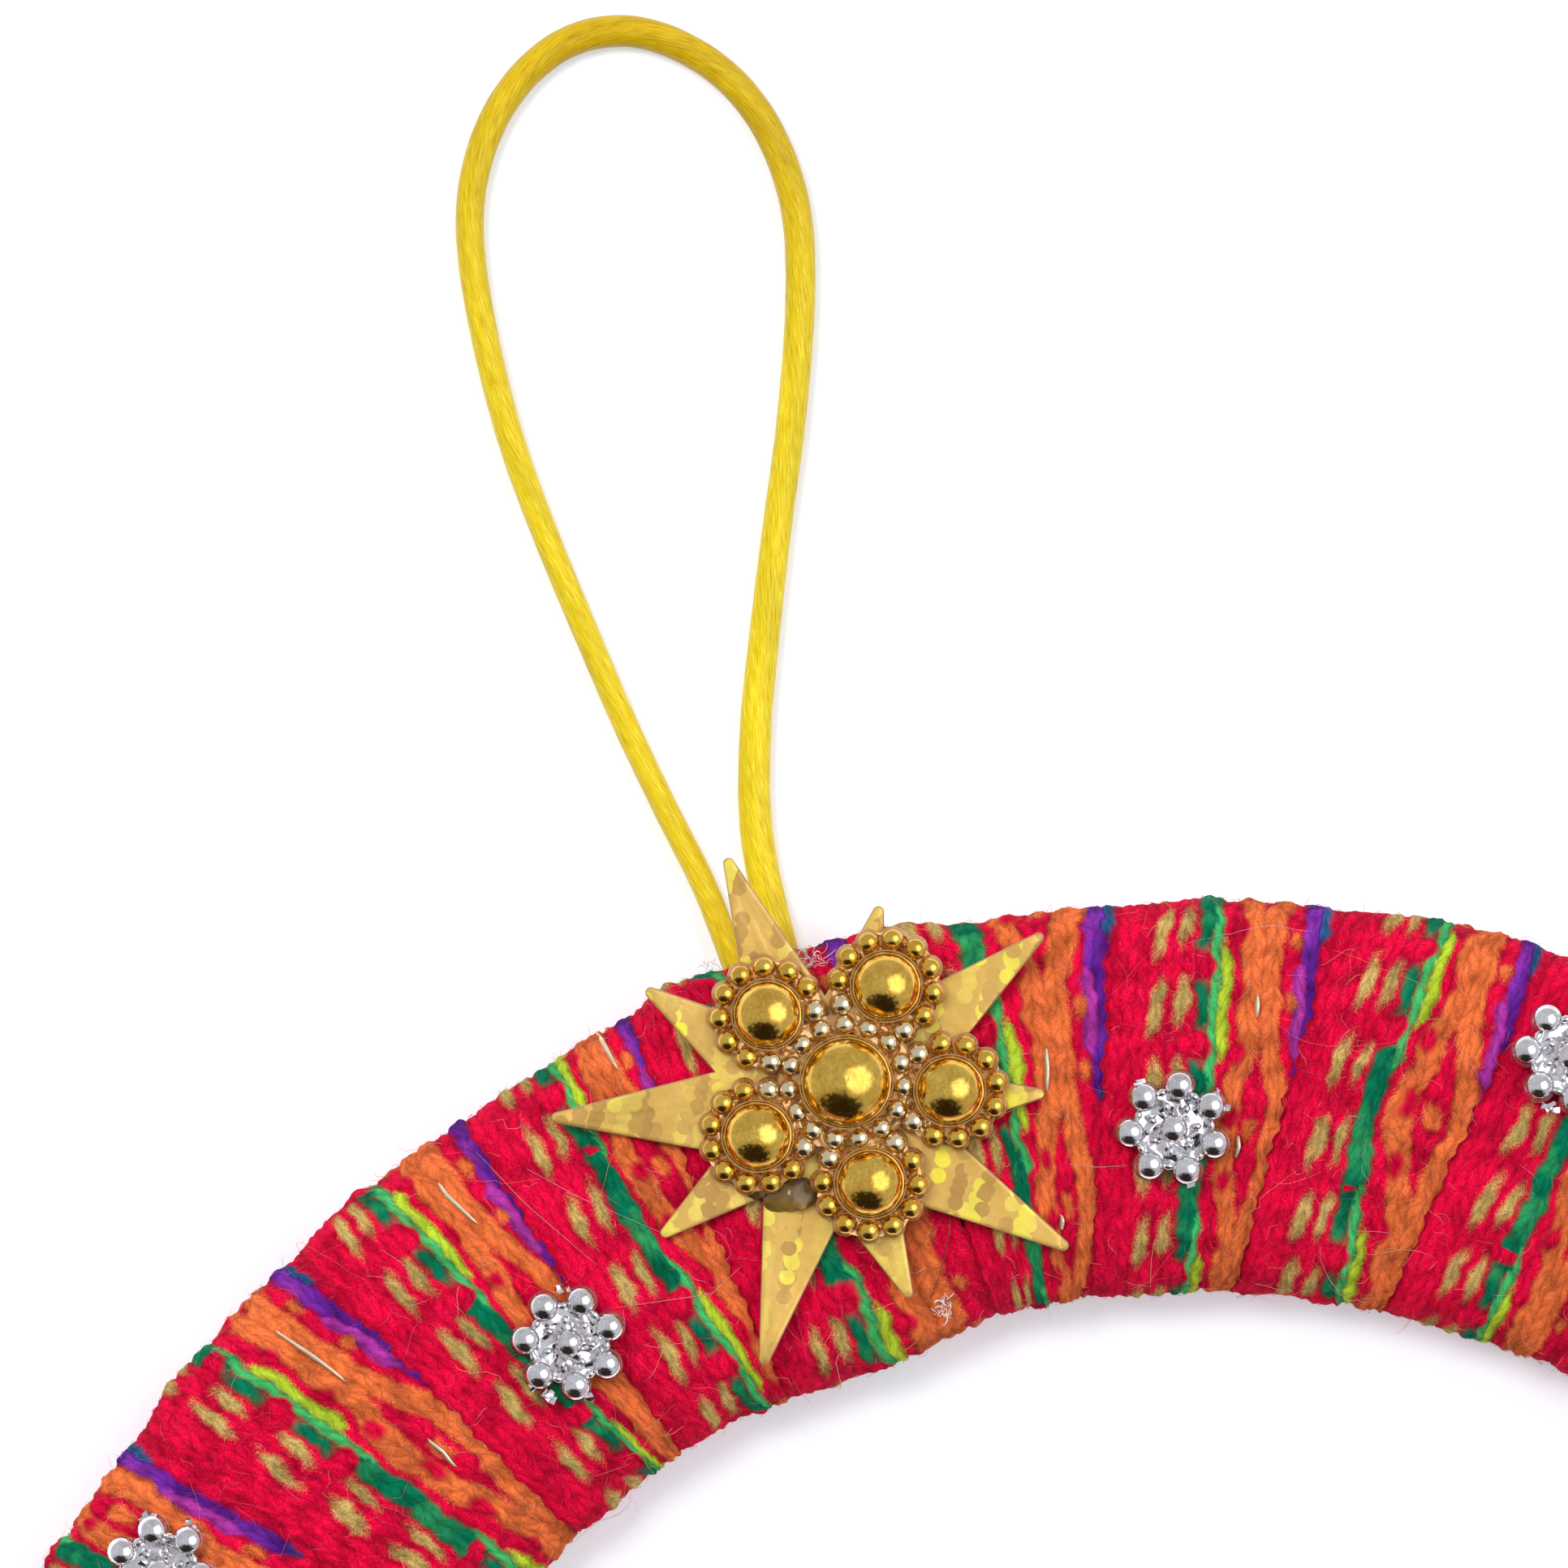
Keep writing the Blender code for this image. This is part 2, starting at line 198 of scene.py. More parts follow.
def finished(material, colour, relief=None, strength=0.0, depth=0.0):
    """The material with this colour, and with a relief of this depth in millimetres."""
    tree = material.node_tree
    shader = tree.nodes["Principled BSDF"]
    tree.links.new(colour, shader.inputs["Base Color"])
    if relief is not None:
        feeds = {"Strength": strength, "Distance": depth * MM, "Height": relief}
        tree.links.new(add(tree, "Bump", feeds), shader.inputs["Normal"])
    return material


def clouded(name, sockets, colours, size, detail, strength=0.0, depth=0.0, contrast=(0.0, 1.0)):
    """A material of two colours that cloud into each other over this many millimetres."""
    material, node = begin_material(name, sockets)
    place = node("NewGeometry", output="Position")
    clouds = node("TexNoise", {"Vector": place, "Scale": 1 / (size * MM), "Detail": detail})
    share = node("MapRange", {0: clouds, 1: contrast[0], 2: contrast[1]})
    first, second = (linear(colour) for colour in colours)
    colour = node("Mix", {0: share, 6: first, 7: second}, 2, data_type="RGBA")
    return finished(material, colour, clouds if depth else None, strength, depth)


# %% [markdown]
# Most pieces are computed as arrays of points and faces with numpy, which is quick also for hundreds of
# thousands of them. `make_mesh` is the one place where such arrays become a Blender mesh, `carry` writes
# what a material has to know at each point, and `make_piece` gives a mesh its material, its place in the
# frame and the solid that it stands for. Nearly every form is a row of rings of points that closes on a
# point at both ends: the cord, each fibre, the star, each bead. So its faces come from one function too.


# %% Meshes and pieces
def make_mesh(name, points, faces, smooth=True):
    """A mesh from points in millimetres and an array of faces with as many corners each."""
    mesh = bpy.data.meshes.new(name)
    mesh.vertices.add(len(points))
    mesh.vertices.foreach_set("co", (np.asarray(points) * MM).astype(np.float32).ravel())
    mesh.loops.add(faces.size)
    mesh.loops.foreach_set("vertex_index", faces.astype(np.int32).ravel())
    mesh.polygons.add(len(faces))
    mesh.polygons.foreach_set("loop_start", np.arange(0, faces.size, faces.shape[1], dtype=np.int32))
    mesh.polygons.foreach_set("use_smooth", np.full(len(faces), smooth))
    mesh.update(calc_edges=True)
    return mesh


def carry(mesh, name, values):
    """Writes a value, a vector or a colour for each point to the mesh."""
    kinds = {1: ("FLOAT", "value"), 3: ("FLOAT_VECTOR", "vector"), 4: ("FLOAT_COLOR", "color")}
    kind, key = kinds[values[0].size]
    mesh.attributes.new(name, kind, "POINT").data.foreach_set(key, values.astype(np.float32).ravel())


def make_piece(name, mesh, material, slot, *solids):
    """An object on the ornament's one body, which takes the place of these solids."""
    piece = bpy.data.objects.new(name, mesh)
    scene.collection.objects.link(piece)
    mesh.materials.append(material)
    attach(piece, "root")
    if solids:
        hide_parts(*solids)
    print(f"{name}: {len(mesh.loops) - 2 * len(mesh.polygons)} triangles")
    return piece


def closed_faces(rings, around):
    """Triangles over a first point, rings of this many points and a last point."""
    place = np.arange(around)
    beside = (place + 1) % around
    faces = [np.stack([np.zeros(around, int), 1 + beside, 1 + place], axis=-1)]
    for ring in range(rings - 1):
        upper, lower = 1 + ring * around, 1 + (ring + 1) * around
        faces.append(np.stack([upper + place, upper + beside, lower + place], axis=-1))
        faces.append(np.stack([upper + beside, lower + beside, lower + place], axis=-1))
    last = 1 + (rings - 1) * around
    faces.append(np.stack([np.full(around, last + around), last + place, last + beside], axis=-1))
    return np.vstack(faces)


def unit(vectors):
    """These vectors, each made 1 long."""
    return vectors / (np.linalg.norm(vectors, axis=-1)[..., None] + 1e-9)


# %% [markdown]
# ## The cord
#
# The hanging loop is a satin cord 2 mm thick, slack on the paper, with both ends under the ring. Its route
# is a list of points, the same as in the solid model: x across the ring's top, y outwards from the
# ring's edge. A smooth curve is led through them.

# %% The cord's route
CORD_DIAMETER = 2.0
CORD_OFF_FLOOR = 0.05
CORD_STEP = 0.4
CORD_ROUTE = (
    (-2.6, -8.3), (-2.7, -3.3), (-2.9, 1.4), (-3.2, 7.1), (-4.0, 12.6), (-4.8, 19.0), (-5.4, 26.0),
    (-5.9, 33.0), (-6.1, 39.5), (-5.7, 46.0), (-4.8, 52.2), (-3.4, 56.6), (-0.9, 60.4), (2.4, 63.1),
    (6.2, 64.4), (10.0, 63.9), (13.2, 61.8), (15.8, 58.4), (17.2, 54.0), (17.2, 48.6), (15.5, 42.6),
    (12.5, 35.4), (9.3, 28.8), (6.3, 22.4), (3.4, 15.8), (1.4, 9.6), (0.6, 3.4), (0.4, -2.6), (0.4, -8.3),
)


def travelled(line):
    """How far along a line each of its points is."""
    return np.concatenate([[0.0], np.cumsum(np.linalg.norm(np.diff(line, axis=0), axis=1))])


def columns_at(places, stops, columns):
    """The row of values at each of these places, between the rows given for the stops."""
    return np.stack([np.interp(places, stops, column) for column in np.asarray(columns).T], axis=1)


def smooth_line(route, step):
    """Points about this far apart along a smooth curve through the route, and how far along each is."""
    route = np.array(route, float)
    ends = np.vstack([2 * route[0] - route[1], route, 2 * route[-1] - route[-2]])
    share = np.linspace(0, 1, 24, endpoint=False)[:, None]
    stretches = []
    for before, start, end, after in zip(ends, ends[1:], ends[2:], ends[3:]):
        bend = 2 * before - 5 * start + 4 * end - after
        twist = 3 * start - before - 3 * end + after
        stretches.append((2 * start + (end - before) * share + bend * share**2 + twist * share**3) / 2)
    dense = np.vstack([*stretches, route[-1:]])
    distances = travelled(dense)
    places = np.linspace(0, distances[-1], round(distances[-1] / step) + 1)
    return columns_at(places, distances, dense), places


cord_height = CORD_OFF_FLOOR + CORD_DIAMETER / 2
cord_points = [(x, RING_CENTRE_Y + RING_OUTER_RADIUS + out, cord_height) for x, out in CORD_ROUTE]
cord_line, cord_places = smooth_line(cord_points, CORD_STEP)
cord_length = cord_places[-1]
print(f"cord: {cord_length:.1f} mm long in {len(cord_line)} steps")

# %% [markdown]
# A satin cord is a soft core covered by straight, shiny filaments. Modelled strand by strand it would be
# heavy, so the tube's own skin has shallow grooves that wind slowly round it, deep enough to catch the
# light, and the material adds the finer filaments. The real cord is pressed thinner where it leaves the
# ring on one side and spreads on the other and at the bend, so its breadth changes along the way. At the
# bend its filaments turn away from the light, so painted shade makes it a deeper yellow there. The mesh
# carries that painted shade, from 0 to 1.

# %% The satin cord's mesh
CORD_AROUND = 32
CORD_STRANDS = 15
STRAND_DEPTH = 0.03
STRAND_LAY = 42.0
CORD_END = 0.3
CORD_BREADTHS = (
    (0.0, 0.9), (0.15, 0.86), (0.4, 0.97), (0.5, 1.1), (0.6, 1.04), (0.75, 1.0), (0.9, 1.14), (1.0, 1.08),
)
CORD_PAINTED_SHADE = (
    (0.0, 0.4), (0.15, 0.25), (0.33, 0.2), (0.42, 0.6), (0.5, 1.0), (0.6, 0.8), (0.68, 0.25), (0.85, 0.0),
)


def with_ends(values):
    """The values of the cord's rings, with the first and the last one again for its end points."""
    return np.concatenate([values[:1], values, values[-1:]])


def satin_cord_mesh():
    """A closed tube with wound grooves. It carries its places, and the painted shade at its bend, for the
    material.
    """
    along = unit(np.gradient(cord_line, axis=0))
    up = np.array((0.0, 0.0, 1.0))
    turn = np.linspace(0, math.tau, CORD_AROUND, endpoint=False)
    wind = cord_places[:, None] / STRAND_LAY * math.tau
    groove = np.abs(np.sin((turn + wind) * CORD_STRANDS / 2)) ** 0.6
    radius = CORD_DIAMETER / 2 - STRAND_DEPTH * (1 - groove)
    breadth = np.interp(cord_places / cord_length, *zip(*CORD_BREADTHS))[:, None]
    across = (radius * breadth * np.cos(turn))[..., None] * np.cross(up, along)[:, None]
    rings = cord_line[:, None] + across + (radius * np.sin(turn))[..., None] * up
    ends = cord_line[0] - along[0] * CORD_END, cord_line[-1] + along[-1] * CORD_END
    points = np.vstack([ends[0], rings.reshape(-1, 3), ends[1]])
    mesh = make_mesh("satin_cord", points, closed_faces(len(cord_line), CORD_AROUND))
    places = np.stack(np.broadcast_arrays(cord_places[:, None], turn, wind), axis=-1).reshape(-1, 3)
    carry(mesh, "along_cord", with_ends(places))
    # Painted shade: how much deeper yellow the cord is made at each place along it, from 0 to 1.
    deep = np.interp(cord_places / cord_length, *zip(*CORD_PAINTED_SHADE))
    carry(mesh, "painted_bend_shade", with_ends(np.repeat(deep, CORD_AROUND)))
    return mesh


# %% [markdown]
# Polyester satin shines because its filaments run straight and side by side. They are far finer than the
# render can show, so they are drawn 0.1 mm wide. The light and shade of the bundles is in the colour as
# well, since a satin thread looks pale where it catches the light and deep yellow where it turns away.


# %% Yellow polyester satin
def yellow_polyester_satin():
    """Drawn filaments laid side by side: a soft, silky gloss with fine lengthwise streaks."""
    look = {"Roughness": 0.38, "Sheen Weight": 0.02, "Sheen Roughness": 0.4, "Specular IOR Level": 0.28}
    material, node = begin_material("yellow_polyester_satin", look)
    filament_width = 0.1
    streak_length = 1.3
    patch_length = 11.0
    place = node("Attribute", output="Vector", attribute_name="along_cord")
    parts = node("SeparateXYZ", {0: place}).node.outputs
    wound = node("Math", {0: parts["Y"], 1: parts["Z"]}, operation="ADD")
    around = node("Math", {0: wound, 1: 1 / filament_width}, operation="MULTIPLY")
    along = node("Math", {0: parts["X"], 1: 1 / streak_length}, operation="MULTIPLY")
    spread = node("CombineXYZ", {0: along, 1: around})
    streaks = node("TexNoise", {"Vector": spread, "Scale": 1.0, "Detail": 3.0})
    yellows = ((0.28, "#caa806"), (0.42, "#e6c40c"), (0.55, "#f0d61c"), (0.7, "#fcec4c"))
    colour = node("ValToRGB", {0: streaks}, stops=yellows)
    # Painted sheen: slow patches along the cord make the colour lighter and darker.
    slow = node("Math", {0: parts["X"], 1: 1 / patch_length}, operation="MULTIPLY")
    painted_sheen_patches = node("CombineXYZ", {0: slow, 1: wound})
    painted_sheen_patches = node("TexNoise", {"Vector": painted_sheen_patches, "Scale": 1.0, "Detail": 1.0})
    lit = node("MapRange", {0: painted_sheen_patches, 1: 0.35, 2: 0.65, 3: 0.88, 4: 1.06})
    # Painted shade at the bend: the colour is multiplied towards a deeper yellow.
    deep = node("Attribute", output="Fac", attribute_name="painted_bend_shade")
    deep = {0: deep, 6: linear("#ffffff"), 7: linear("#d8c874")}
    deep = node("Mix", deep, 2, data_type="RGBA")
    for shade in (lit, deep):
        colour = node("VectorMath", {0: colour, 1: shade}, operation="MULTIPLY")
    return finished(material, colour, streaks, strength=0.25, depth=0.05)


satin = yellow_polyester_satin()
cord = make_piece("hanging_satin_cord", satin_cord_mesh(), satin, "satin_cord", "hanging_cord")

# %% [markdown]
# ## The padded ring's section
#
# The strip lies on a padded ring with a flat back. The ring's section is one closed line: from the outer
# edge over the crown to the inner edge, round the lower corner, along the back and up again. The cloth will
# be a grid of points, so the section is sampled closely where it shows and widely on the back.

# %% The section line
CROWN_ROWS = 86
CORNER_ROWS = 6
BACK_ROWS = 10
HALF_BACK = HALF_BREADTH - UNDER_EDGE


def fine_section():
    """The section as a dense line from the outer edge, and where its crown and first corner end."""
    turn = np.linspace(0, math.pi, 600)
    offset = HALF_BREADTH * np.sign(np.cos(turn)) * np.abs(np.cos(turn)) ** (2 / CROWN_ACROSS)
    crown = np.stack([offset, crown_height(offset)], axis=1)
    drop = np.linspace(0, math.pi / 2, 60)[1:]
    corner = np.stack([-HALF_BACK - UNDER_EDGE * np.cos(drop), SHOULDER_HEIGHT * (1 - np.sin(drop))], axis=1)
    rise = corner[::-1] * (-1, 1)
    back = np.linspace(corner[-1], rise[0], 60)[1:-1]
    return np.vstack([crown, corner, back, rise, crown[:1]]), len(crown) - 1, len(crown) + len(corner) - 1


def section_rows():
    """(offset, height) of each row of the grid, how far along the section it is, and the way out of it."""
    line, crown_end, corner_end = fine_section()
    distances = travelled(line)
    whole, crown, corner = distances[[-1, crown_end, corner_end]]
    last_corner = whole - (corner - crown)
    starts = (0, crown, corner, last_corner, whole)
    counts = (CROWN_ROWS, CORNER_ROWS, BACK_ROWS, CORNER_ROWS)
    stretches = zip(starts, starts[1:], counts)
    places = np.concatenate([np.linspace(*stretch, endpoint=False) for stretch in stretches])
    reach = 0.4
    before = columns_at((places - reach) % whole, distances, line)
    along = unit(columns_at((places + reach) % whole, distances, line) - before)
    outwards = np.stack([along[:, 1], -along[:, 0]], axis=1)
    return columns_at(places, distances, line), places, outwards, crown, whole


section, row_places, row_normals, crown_length, round_length = section_rows()
print(f"section: {len(section)} rows, {crown_length:.1f} mm over the crown and {round_length:.1f} mm round")

# %% [markdown]
# ## Winding the strip
#
# One strip goes round and round the ring, each turn over the edge of the one before. A turn shows from its
# own red edge, which lies on top, to the red edge of the next turn. The turns are regular on the hidden
# part of the ring. Where the photograph shows them, their edges lean as the real ones do: each has its
# shift from the regular angle at the ring's outer and inner edge. The folded edge isn't straight either:
# the loops of the yarn give it small scallops.

# %% The turns of the strip
TURNS = 36
FIRST_EDGE = 4.3
LOOP_PITCH = 1.3
LOOPS = 0.11
REGULAR_LEAN = -1.0
EDGE_SHIFTS = {
    31: (0.2, 0.6), 32: (0.7, 1.2), 33: (1.0, 1.7), 34: (0.3, 0.0), 35: (-1.1, -2.6),
    0: (-1.3, 1.9), 1: (1.1, -2.4), 2: (1.1, -3.5), 3: (0.5, -4.0), 4: (0.2, -2.8),
}
chance = np.random.default_rng(36)
regular = FIRST_EDGE + np.arange(TURNS) * 360 / TURNS
outer_edges = regular + chance.uniform(-0.5, 0.5, TURNS)
inner_edges = regular + REGULAR_LEAN + chance.uniform(-0.8, 0.8, TURNS)
for turn, (outer_shift, inner_shift) in EDGE_SHIFTS.items():
    outer_edges[turn] = regular[turn] + outer_shift
    inner_edges[turn] = regular[turn] + inner_shift


def edges_at(place, carried_on, loops=0.0):
    """The angle of every turn's red edge, and of the first one again, at this place along the section."""
    outer = np.append(outer_edges, outer_edges[0] + 360)
    inner = np.append(inner_edges, inner_edges[0] + 360)
    if place <= crown_length:
        share = place / crown_length
        turn = np.append(np.arange(TURNS), 0)
        scallops = np.sin(math.tau * place / LOOP_PITCH + turn) + np.sin(1.7 * place + 2.4 * turn)
        return outer + (inner - outer) * share + loops * scallops * math.sin(math.pi * share) ** 0.5
    share = (place - crown_length) / (round_length - crown_length)
    next_outer = np.append(outer[1:], outer[1] + 360) if carried_on else outer
    return inner + (next_outer - inner) * share


print("widest turn at the outer edge:", round(float(np.diff(outer_edges).max()), 1), "degrees")

# %% [markdown]
# The grid's columns follow the red edges over the crown, so that each edge is one clean line of the mesh.
# On the back the real strip crosses to the next turn, on a slant. There the columns go straight back to
# where they began, which closes the grid, and the pattern alone crosses over. The turns that the photograph
# shows get more columns.

# %% The grid of the cloth
SEEN_COLUMNS = 80
OTHER_COLUMNS = 40
columns_in = np.array([SEEN_COLUMNS if turn in EDGE_SHIFTS else OTHER_COLUMNS for turn in range(TURNS)])
first_columns = np.concatenate([[0], np.cumsum(columns_in)])


def grid_angles():
    """The angle of each point of the grid, with a row for each row of the section."""
    step = np.concatenate([np.arange(count) / count for count in columns_in])
    share = step - 0.03 * np.sin(math.tau * step)
    angles = []
    for place in row_places:
        edges = edges_at(place, carried_on=False, loops=LOOPS)
        angles.append(np.repeat(edges[:-1], columns_in) + np.repeat(np.diff(edges), columns_in) * share)
    return np.array(angles)


def strip_places(angles):
    """(distance from the red edge, place along the section, turn, share of the turn) at each point."""
    radius = MIDDLE_RADIUS + section[:, 0]
    across = np.empty_like(angles)
    turns = np.empty(angles.shape, int)
    shares = np.empty_like(angles)
    for row, place in enumerate(row_places):
        edges = edges_at(place, carried_on=True, loops=LOOPS)
        straight = edges_at(place, carried_on=True)
        wound = edges[0] + (angles[row] - edges[0]) % 360
        number = np.clip(np.searchsorted(edges, wound + 1e-6, side="right") - 1, 0, TURNS - 1)
        turns[row] = number
        across[row] = np.radians(wound - straight[number]) * radius[row]
        shares[row] = (wound - edges[number]) / (edges[number + 1] - edges[number])
    along = np.broadcast_to(row_places[:, None], angles.shape)
    return across, along, turns, shares


angles = grid_angles()
across_strip, along_strip, turns, turn_shares = strip_places(angles)
print(f"cloth grid: {angles.shape[0]} by {angles.shape[1]} points")

# %% [markdown]
# ## The woven pattern
#
# Across the strip, from its red edge, come a plain crimson field, two columns of tan flecks, a green cord
# that wanders and turns from dark green to lime, an orange chain that opens into lozenges, and a violet
# edge. Along the strip everything repeats: the flecks every 5.3 mm, and the green cord and the lozenges
# every fourth fleck.
#
# Each yarn is written as a distance in millimetres: positive inside the yarn's float, negative outside. The
# same distances then give the relief, the colours and the loose fibres, so these always agree.

# %% Helpers for repeating yarn
FLECK_PITCH = 5.3
CYCLE = 4 * FLECK_PITCH


def ripple(across, along, size, seed):
    """A smooth value of about -1 to 1 that wanders over this many millimetres."""
    draw = np.random.default_rng(seed)
    total = 0.0
    for _ in range(7):
        heading = draw.uniform(0, math.tau)
        pace = math.tau / (size * draw.uniform(0.7, 1.6))
        phase = draw.uniform(0, math.tau)
        total = total + np.sin((across * math.cos(heading) + along * math.sin(heading)) * pace + phase)
    return total / 2.6


def from_nearest(place, pitch):
    """How far each place is from the nearest repeat."""
    return place - np.round(place / pitch) * pitch


def oval(across, along, half_width, half_length):
    """How far inside an oval a point is, in millimetres."""
    return half_width * (1 - np.hypot(across / half_width, along / half_length))


def band(across, half_width):
    """How far inside a straight band a point is, in millimetres."""
    return half_width - np.abs(across)


def fade(value, start, end):
    """0 before the start, 1 after the end and smooth between, either way round."""
    share = np.clip((value - start) / (end - start), 0, 1)
    return share * share * (3 - 2 * share)


# %% [markdown]
# Where the photograph shows a turn, its flecks and its lime stretch start where the real ones do, measured
# inwards from the ring's outer edge. The other turns carry on from one to the next by the length of a turn,
# as one long strip does.
#
# The strip is pulled round a curve, so it is spread at one place and gathered at another. For each turn
# that shows well, the green cord and the orange chain were measured from the red edge, at the ring's outer
# edge, middle and inner edge. The whole pattern is stretched or squeezed to lie on these two lines.

# %% Where each turn's pattern starts
SEEN_STARTS = {
    32: (3.7, 6.9), 33: (1.3, 4.7), 34: (4.4, 1.2), 35: (3.3, 5.6),
    0: (-0.4, 10.8), 1: (1.7, 6.6), 2: (-0.5, 3.7), 3: (1.5, 5.0),
}


def along_crown(seen_from_edge):
    """How far along the section a place is that is seen this far in from the ring's outer edge."""
    seen = RING_OUTER_RADIUS - MIDDLE_RADIUS - section[:CROWN_ROWS, 0]
    return np.interp(seen_from_edge, seen, row_places[:CROWN_ROWS])


fleck_starts = (2.0 - round_length * np.arange(TURNS)) % FLECK_PITCH
lime_starts = (5.2 - round_length * np.arange(TURNS)) % CYCLE
for turn, (fleck_start, lime_start) in SEEN_STARTS.items():
    fleck_starts[turn] = along_crown(fleck_start + FLECK_PITCH) - FLECK_PITCH
    lime_starts[turn] = along_crown(lime_start)
GREEN_LINE = 6.2
ORANGE_LINE = 10.3
REGULAR_LINES = ((6.2, 10.3), (6.1, 9.9), (6.0, 9.3))
SEEN_LINES = {
    32: ((6.2, 10.2), (6.5, 10.9), (6.3, 10.5)),
    33: ((5.8, 10.1), (6.0, 9.2), (6.6, 8.6)),
    34: ((6.3, 9.6), (5.8, 9.4), (6.0, 9.0)),
    35: ((5.3, 10.3), (5.8, 11.0), (6.7, 11.6)),
    0: ((8.0, 13.0), (5.2, 8.9), (2.8, 4.8)),
    1: ((6.0, 9.9), (6.5, 10.3), (5.8, 8.9)),
    2: ((6.3, 9.6), (5.3, 9.9), (6.6, 10.0)),
}


def spread_pattern(across, along, turns):
    """Where in the flat pattern each place of the wound strip is, across."""
    lines = np.array([(*SEEN_LINES.get(turn, REGULAR_LINES), REGULAR_LINES[0]) for turn in range(TURNS)])
    stops = (0.0, 0.5 * crown_length, crown_length, round_length)
    place = np.interp(along, stops, range(len(stops)))
    stretch = np.minimum(place.astype(int), len(stops) - 2)
    share = (place - stretch)[..., None]
    lines = lines[turns, stretch] * (1 - share) + lines[turns, stretch + 1] * share
    green, orange = lines[..., 0], lines[..., 1]
    near = across * GREEN_LINE / green
    far = GREEN_LINE + (across - green) * (ORANGE_LINE - GREEN_LINE) / (orange - green)
    return np.where(across < green, near, far)


print("pattern places set by the photograph for", len(SEEN_LINES), "turns")

# %% The yarns of the strip
FLECK_COLUMNS = ((3.2, 0.47, 1.65, 0.0), (4.8, 0.42, 1.45, -0.25))
FLECK_SLANT = -0.1
VIOLET_LINE = 13.6
LOZENGE_SHARE = 0.42
FAR_OUTSIDE = -9.0


def cut_short(distance, share):
    """A yarn's distance where the yarn shows only for a share from 0 to 1, which tapers its ends."""
    return np.where(share > 0.02, distance - 0.5 * (1 - share), FAR_OUTSIDE)


def fleck_yarn(across, along, starts):
    """Tan floats in two columns, a little out of line with each other."""
    place = from_nearest(along - starts, FLECK_PITCH)
    columns = []
    for line, half_width, half_length, shift in FLECK_COLUMNS:
        slant = FLECK_SLANT * (place - shift)
        columns.append(oval(across - line - slant, place - shift, half_width, half_length))
    return np.maximum(*columns)


def green_yarn(across, along, cycle, from_fleck):
    """The three strands of the green cord, and their dye, from 0 for dark green to 1 for lime."""
    from_lime = np.abs(cycle)
    dark_phase = fade(from_lime, 0.2, 0.27)
    dark = band(across - GREEN_LINE + 0.1 - 0.25 * dark_phase, 0.52 + 0.26 * dark_phase)
    drops = oval(across - GREEN_LINE + 0.25, from_fleck, 0.62, 1.6)
    dark = np.minimum(dark, drops + 3.0 * fade(dark_phase, 0.2, 1.0))
    middle = cut_short(band(across - GREEN_LINE - 0.72, 0.4), fade(from_lime, 0.36, 0.28))
    lime = cut_short(band(across - GREEN_LINE - 1.45, 0.44), fade(from_lime, 0.2, 0.13))
    beside = 0.45 * fade(cycle, -0.3, -0.42) + 0.3 * fade(ripple(across, along, 3.0, 9), 0.3, 0.9)
    dye = np.where(lime > np.maximum(dark, middle), 1.0, np.where(middle > dark, 0.5, 0.4 * beside))
    return np.maximum.reduce([dark, middle, lime]), dye


def orange_yarn(across, along, cycle):
    """Two orange chains that run together and part round a lozenge with a knot in its middle."""
    from_middle = np.abs(from_nearest(cycle - LOZENGE_SHARE, 1.0))
    opening = 0.66 + 1.25 * np.clip(1 - (from_middle / 0.31) ** 1.4, 0, 1)
    chains = band(np.abs(across - ORANGE_LINE) - opening, 0.84)
    core = oval(across - ORANGE_LINE, from_middle * CYCLE, 0.52, 0.9)
    dots = oval(across - ORANGE_LINE - 2.15, from_nearest(along, CYCLE / 5), 0.42, 0.6)
    return np.maximum.reduce([chains, core, np.where(from_middle > 0.3, dots, FAR_OUTSIDE)])


def violet_yarn(across, along, starts):
    """The violet edge's distance and its dye: teal, indigo, violet and magenta at 0, 1/3, 2/3 and 1.

    Its magenta strand comes up beside the violet one for some millimetres, and both end halfway over the
    ring. A short teal strand shows beside it at the ring's outer edge.
    """
    beside = fade(np.abs(along - 8.0 - 0.6 * starts), 3.6, 2.2)
    shows = fade(along, 15.0 + starts, 12.5 + starts) + fade(along, crown_length + 2.0, crown_length + 4.0)
    magenta = cut_short(band(across - VIOLET_LINE + 0.5, 0.48), beside)
    violet = band(across - VIOLET_LINE - 0.3 * beside, 0.68 - 0.3 * beside)
    violet = cut_short(violet, np.clip(shows, 0, 1))
    at_edge = fade(along, 4.0 + 0.5 * starts, 2.6 + 0.5 * starts)
    teal = cut_short(band(across - VIOLET_LINE - 0.75, 0.42), at_edge)
    wander = 0.5 + 0.22 * ripple(across, along, 5.0, 11)
    dye = np.where(magenta > violet, 0.95, np.clip(wander, 0.25, 0.75))
    dye = np.where(teal > np.maximum(magenta, violet), 0.08, dye)
    return np.maximum.reduce([magenta, violet, teal]), dye


# %% [markdown]
# Nothing in the cloth is straight, so the places are shaken by a tenth or two of a millimetre before the
# yarns are drawn from them.


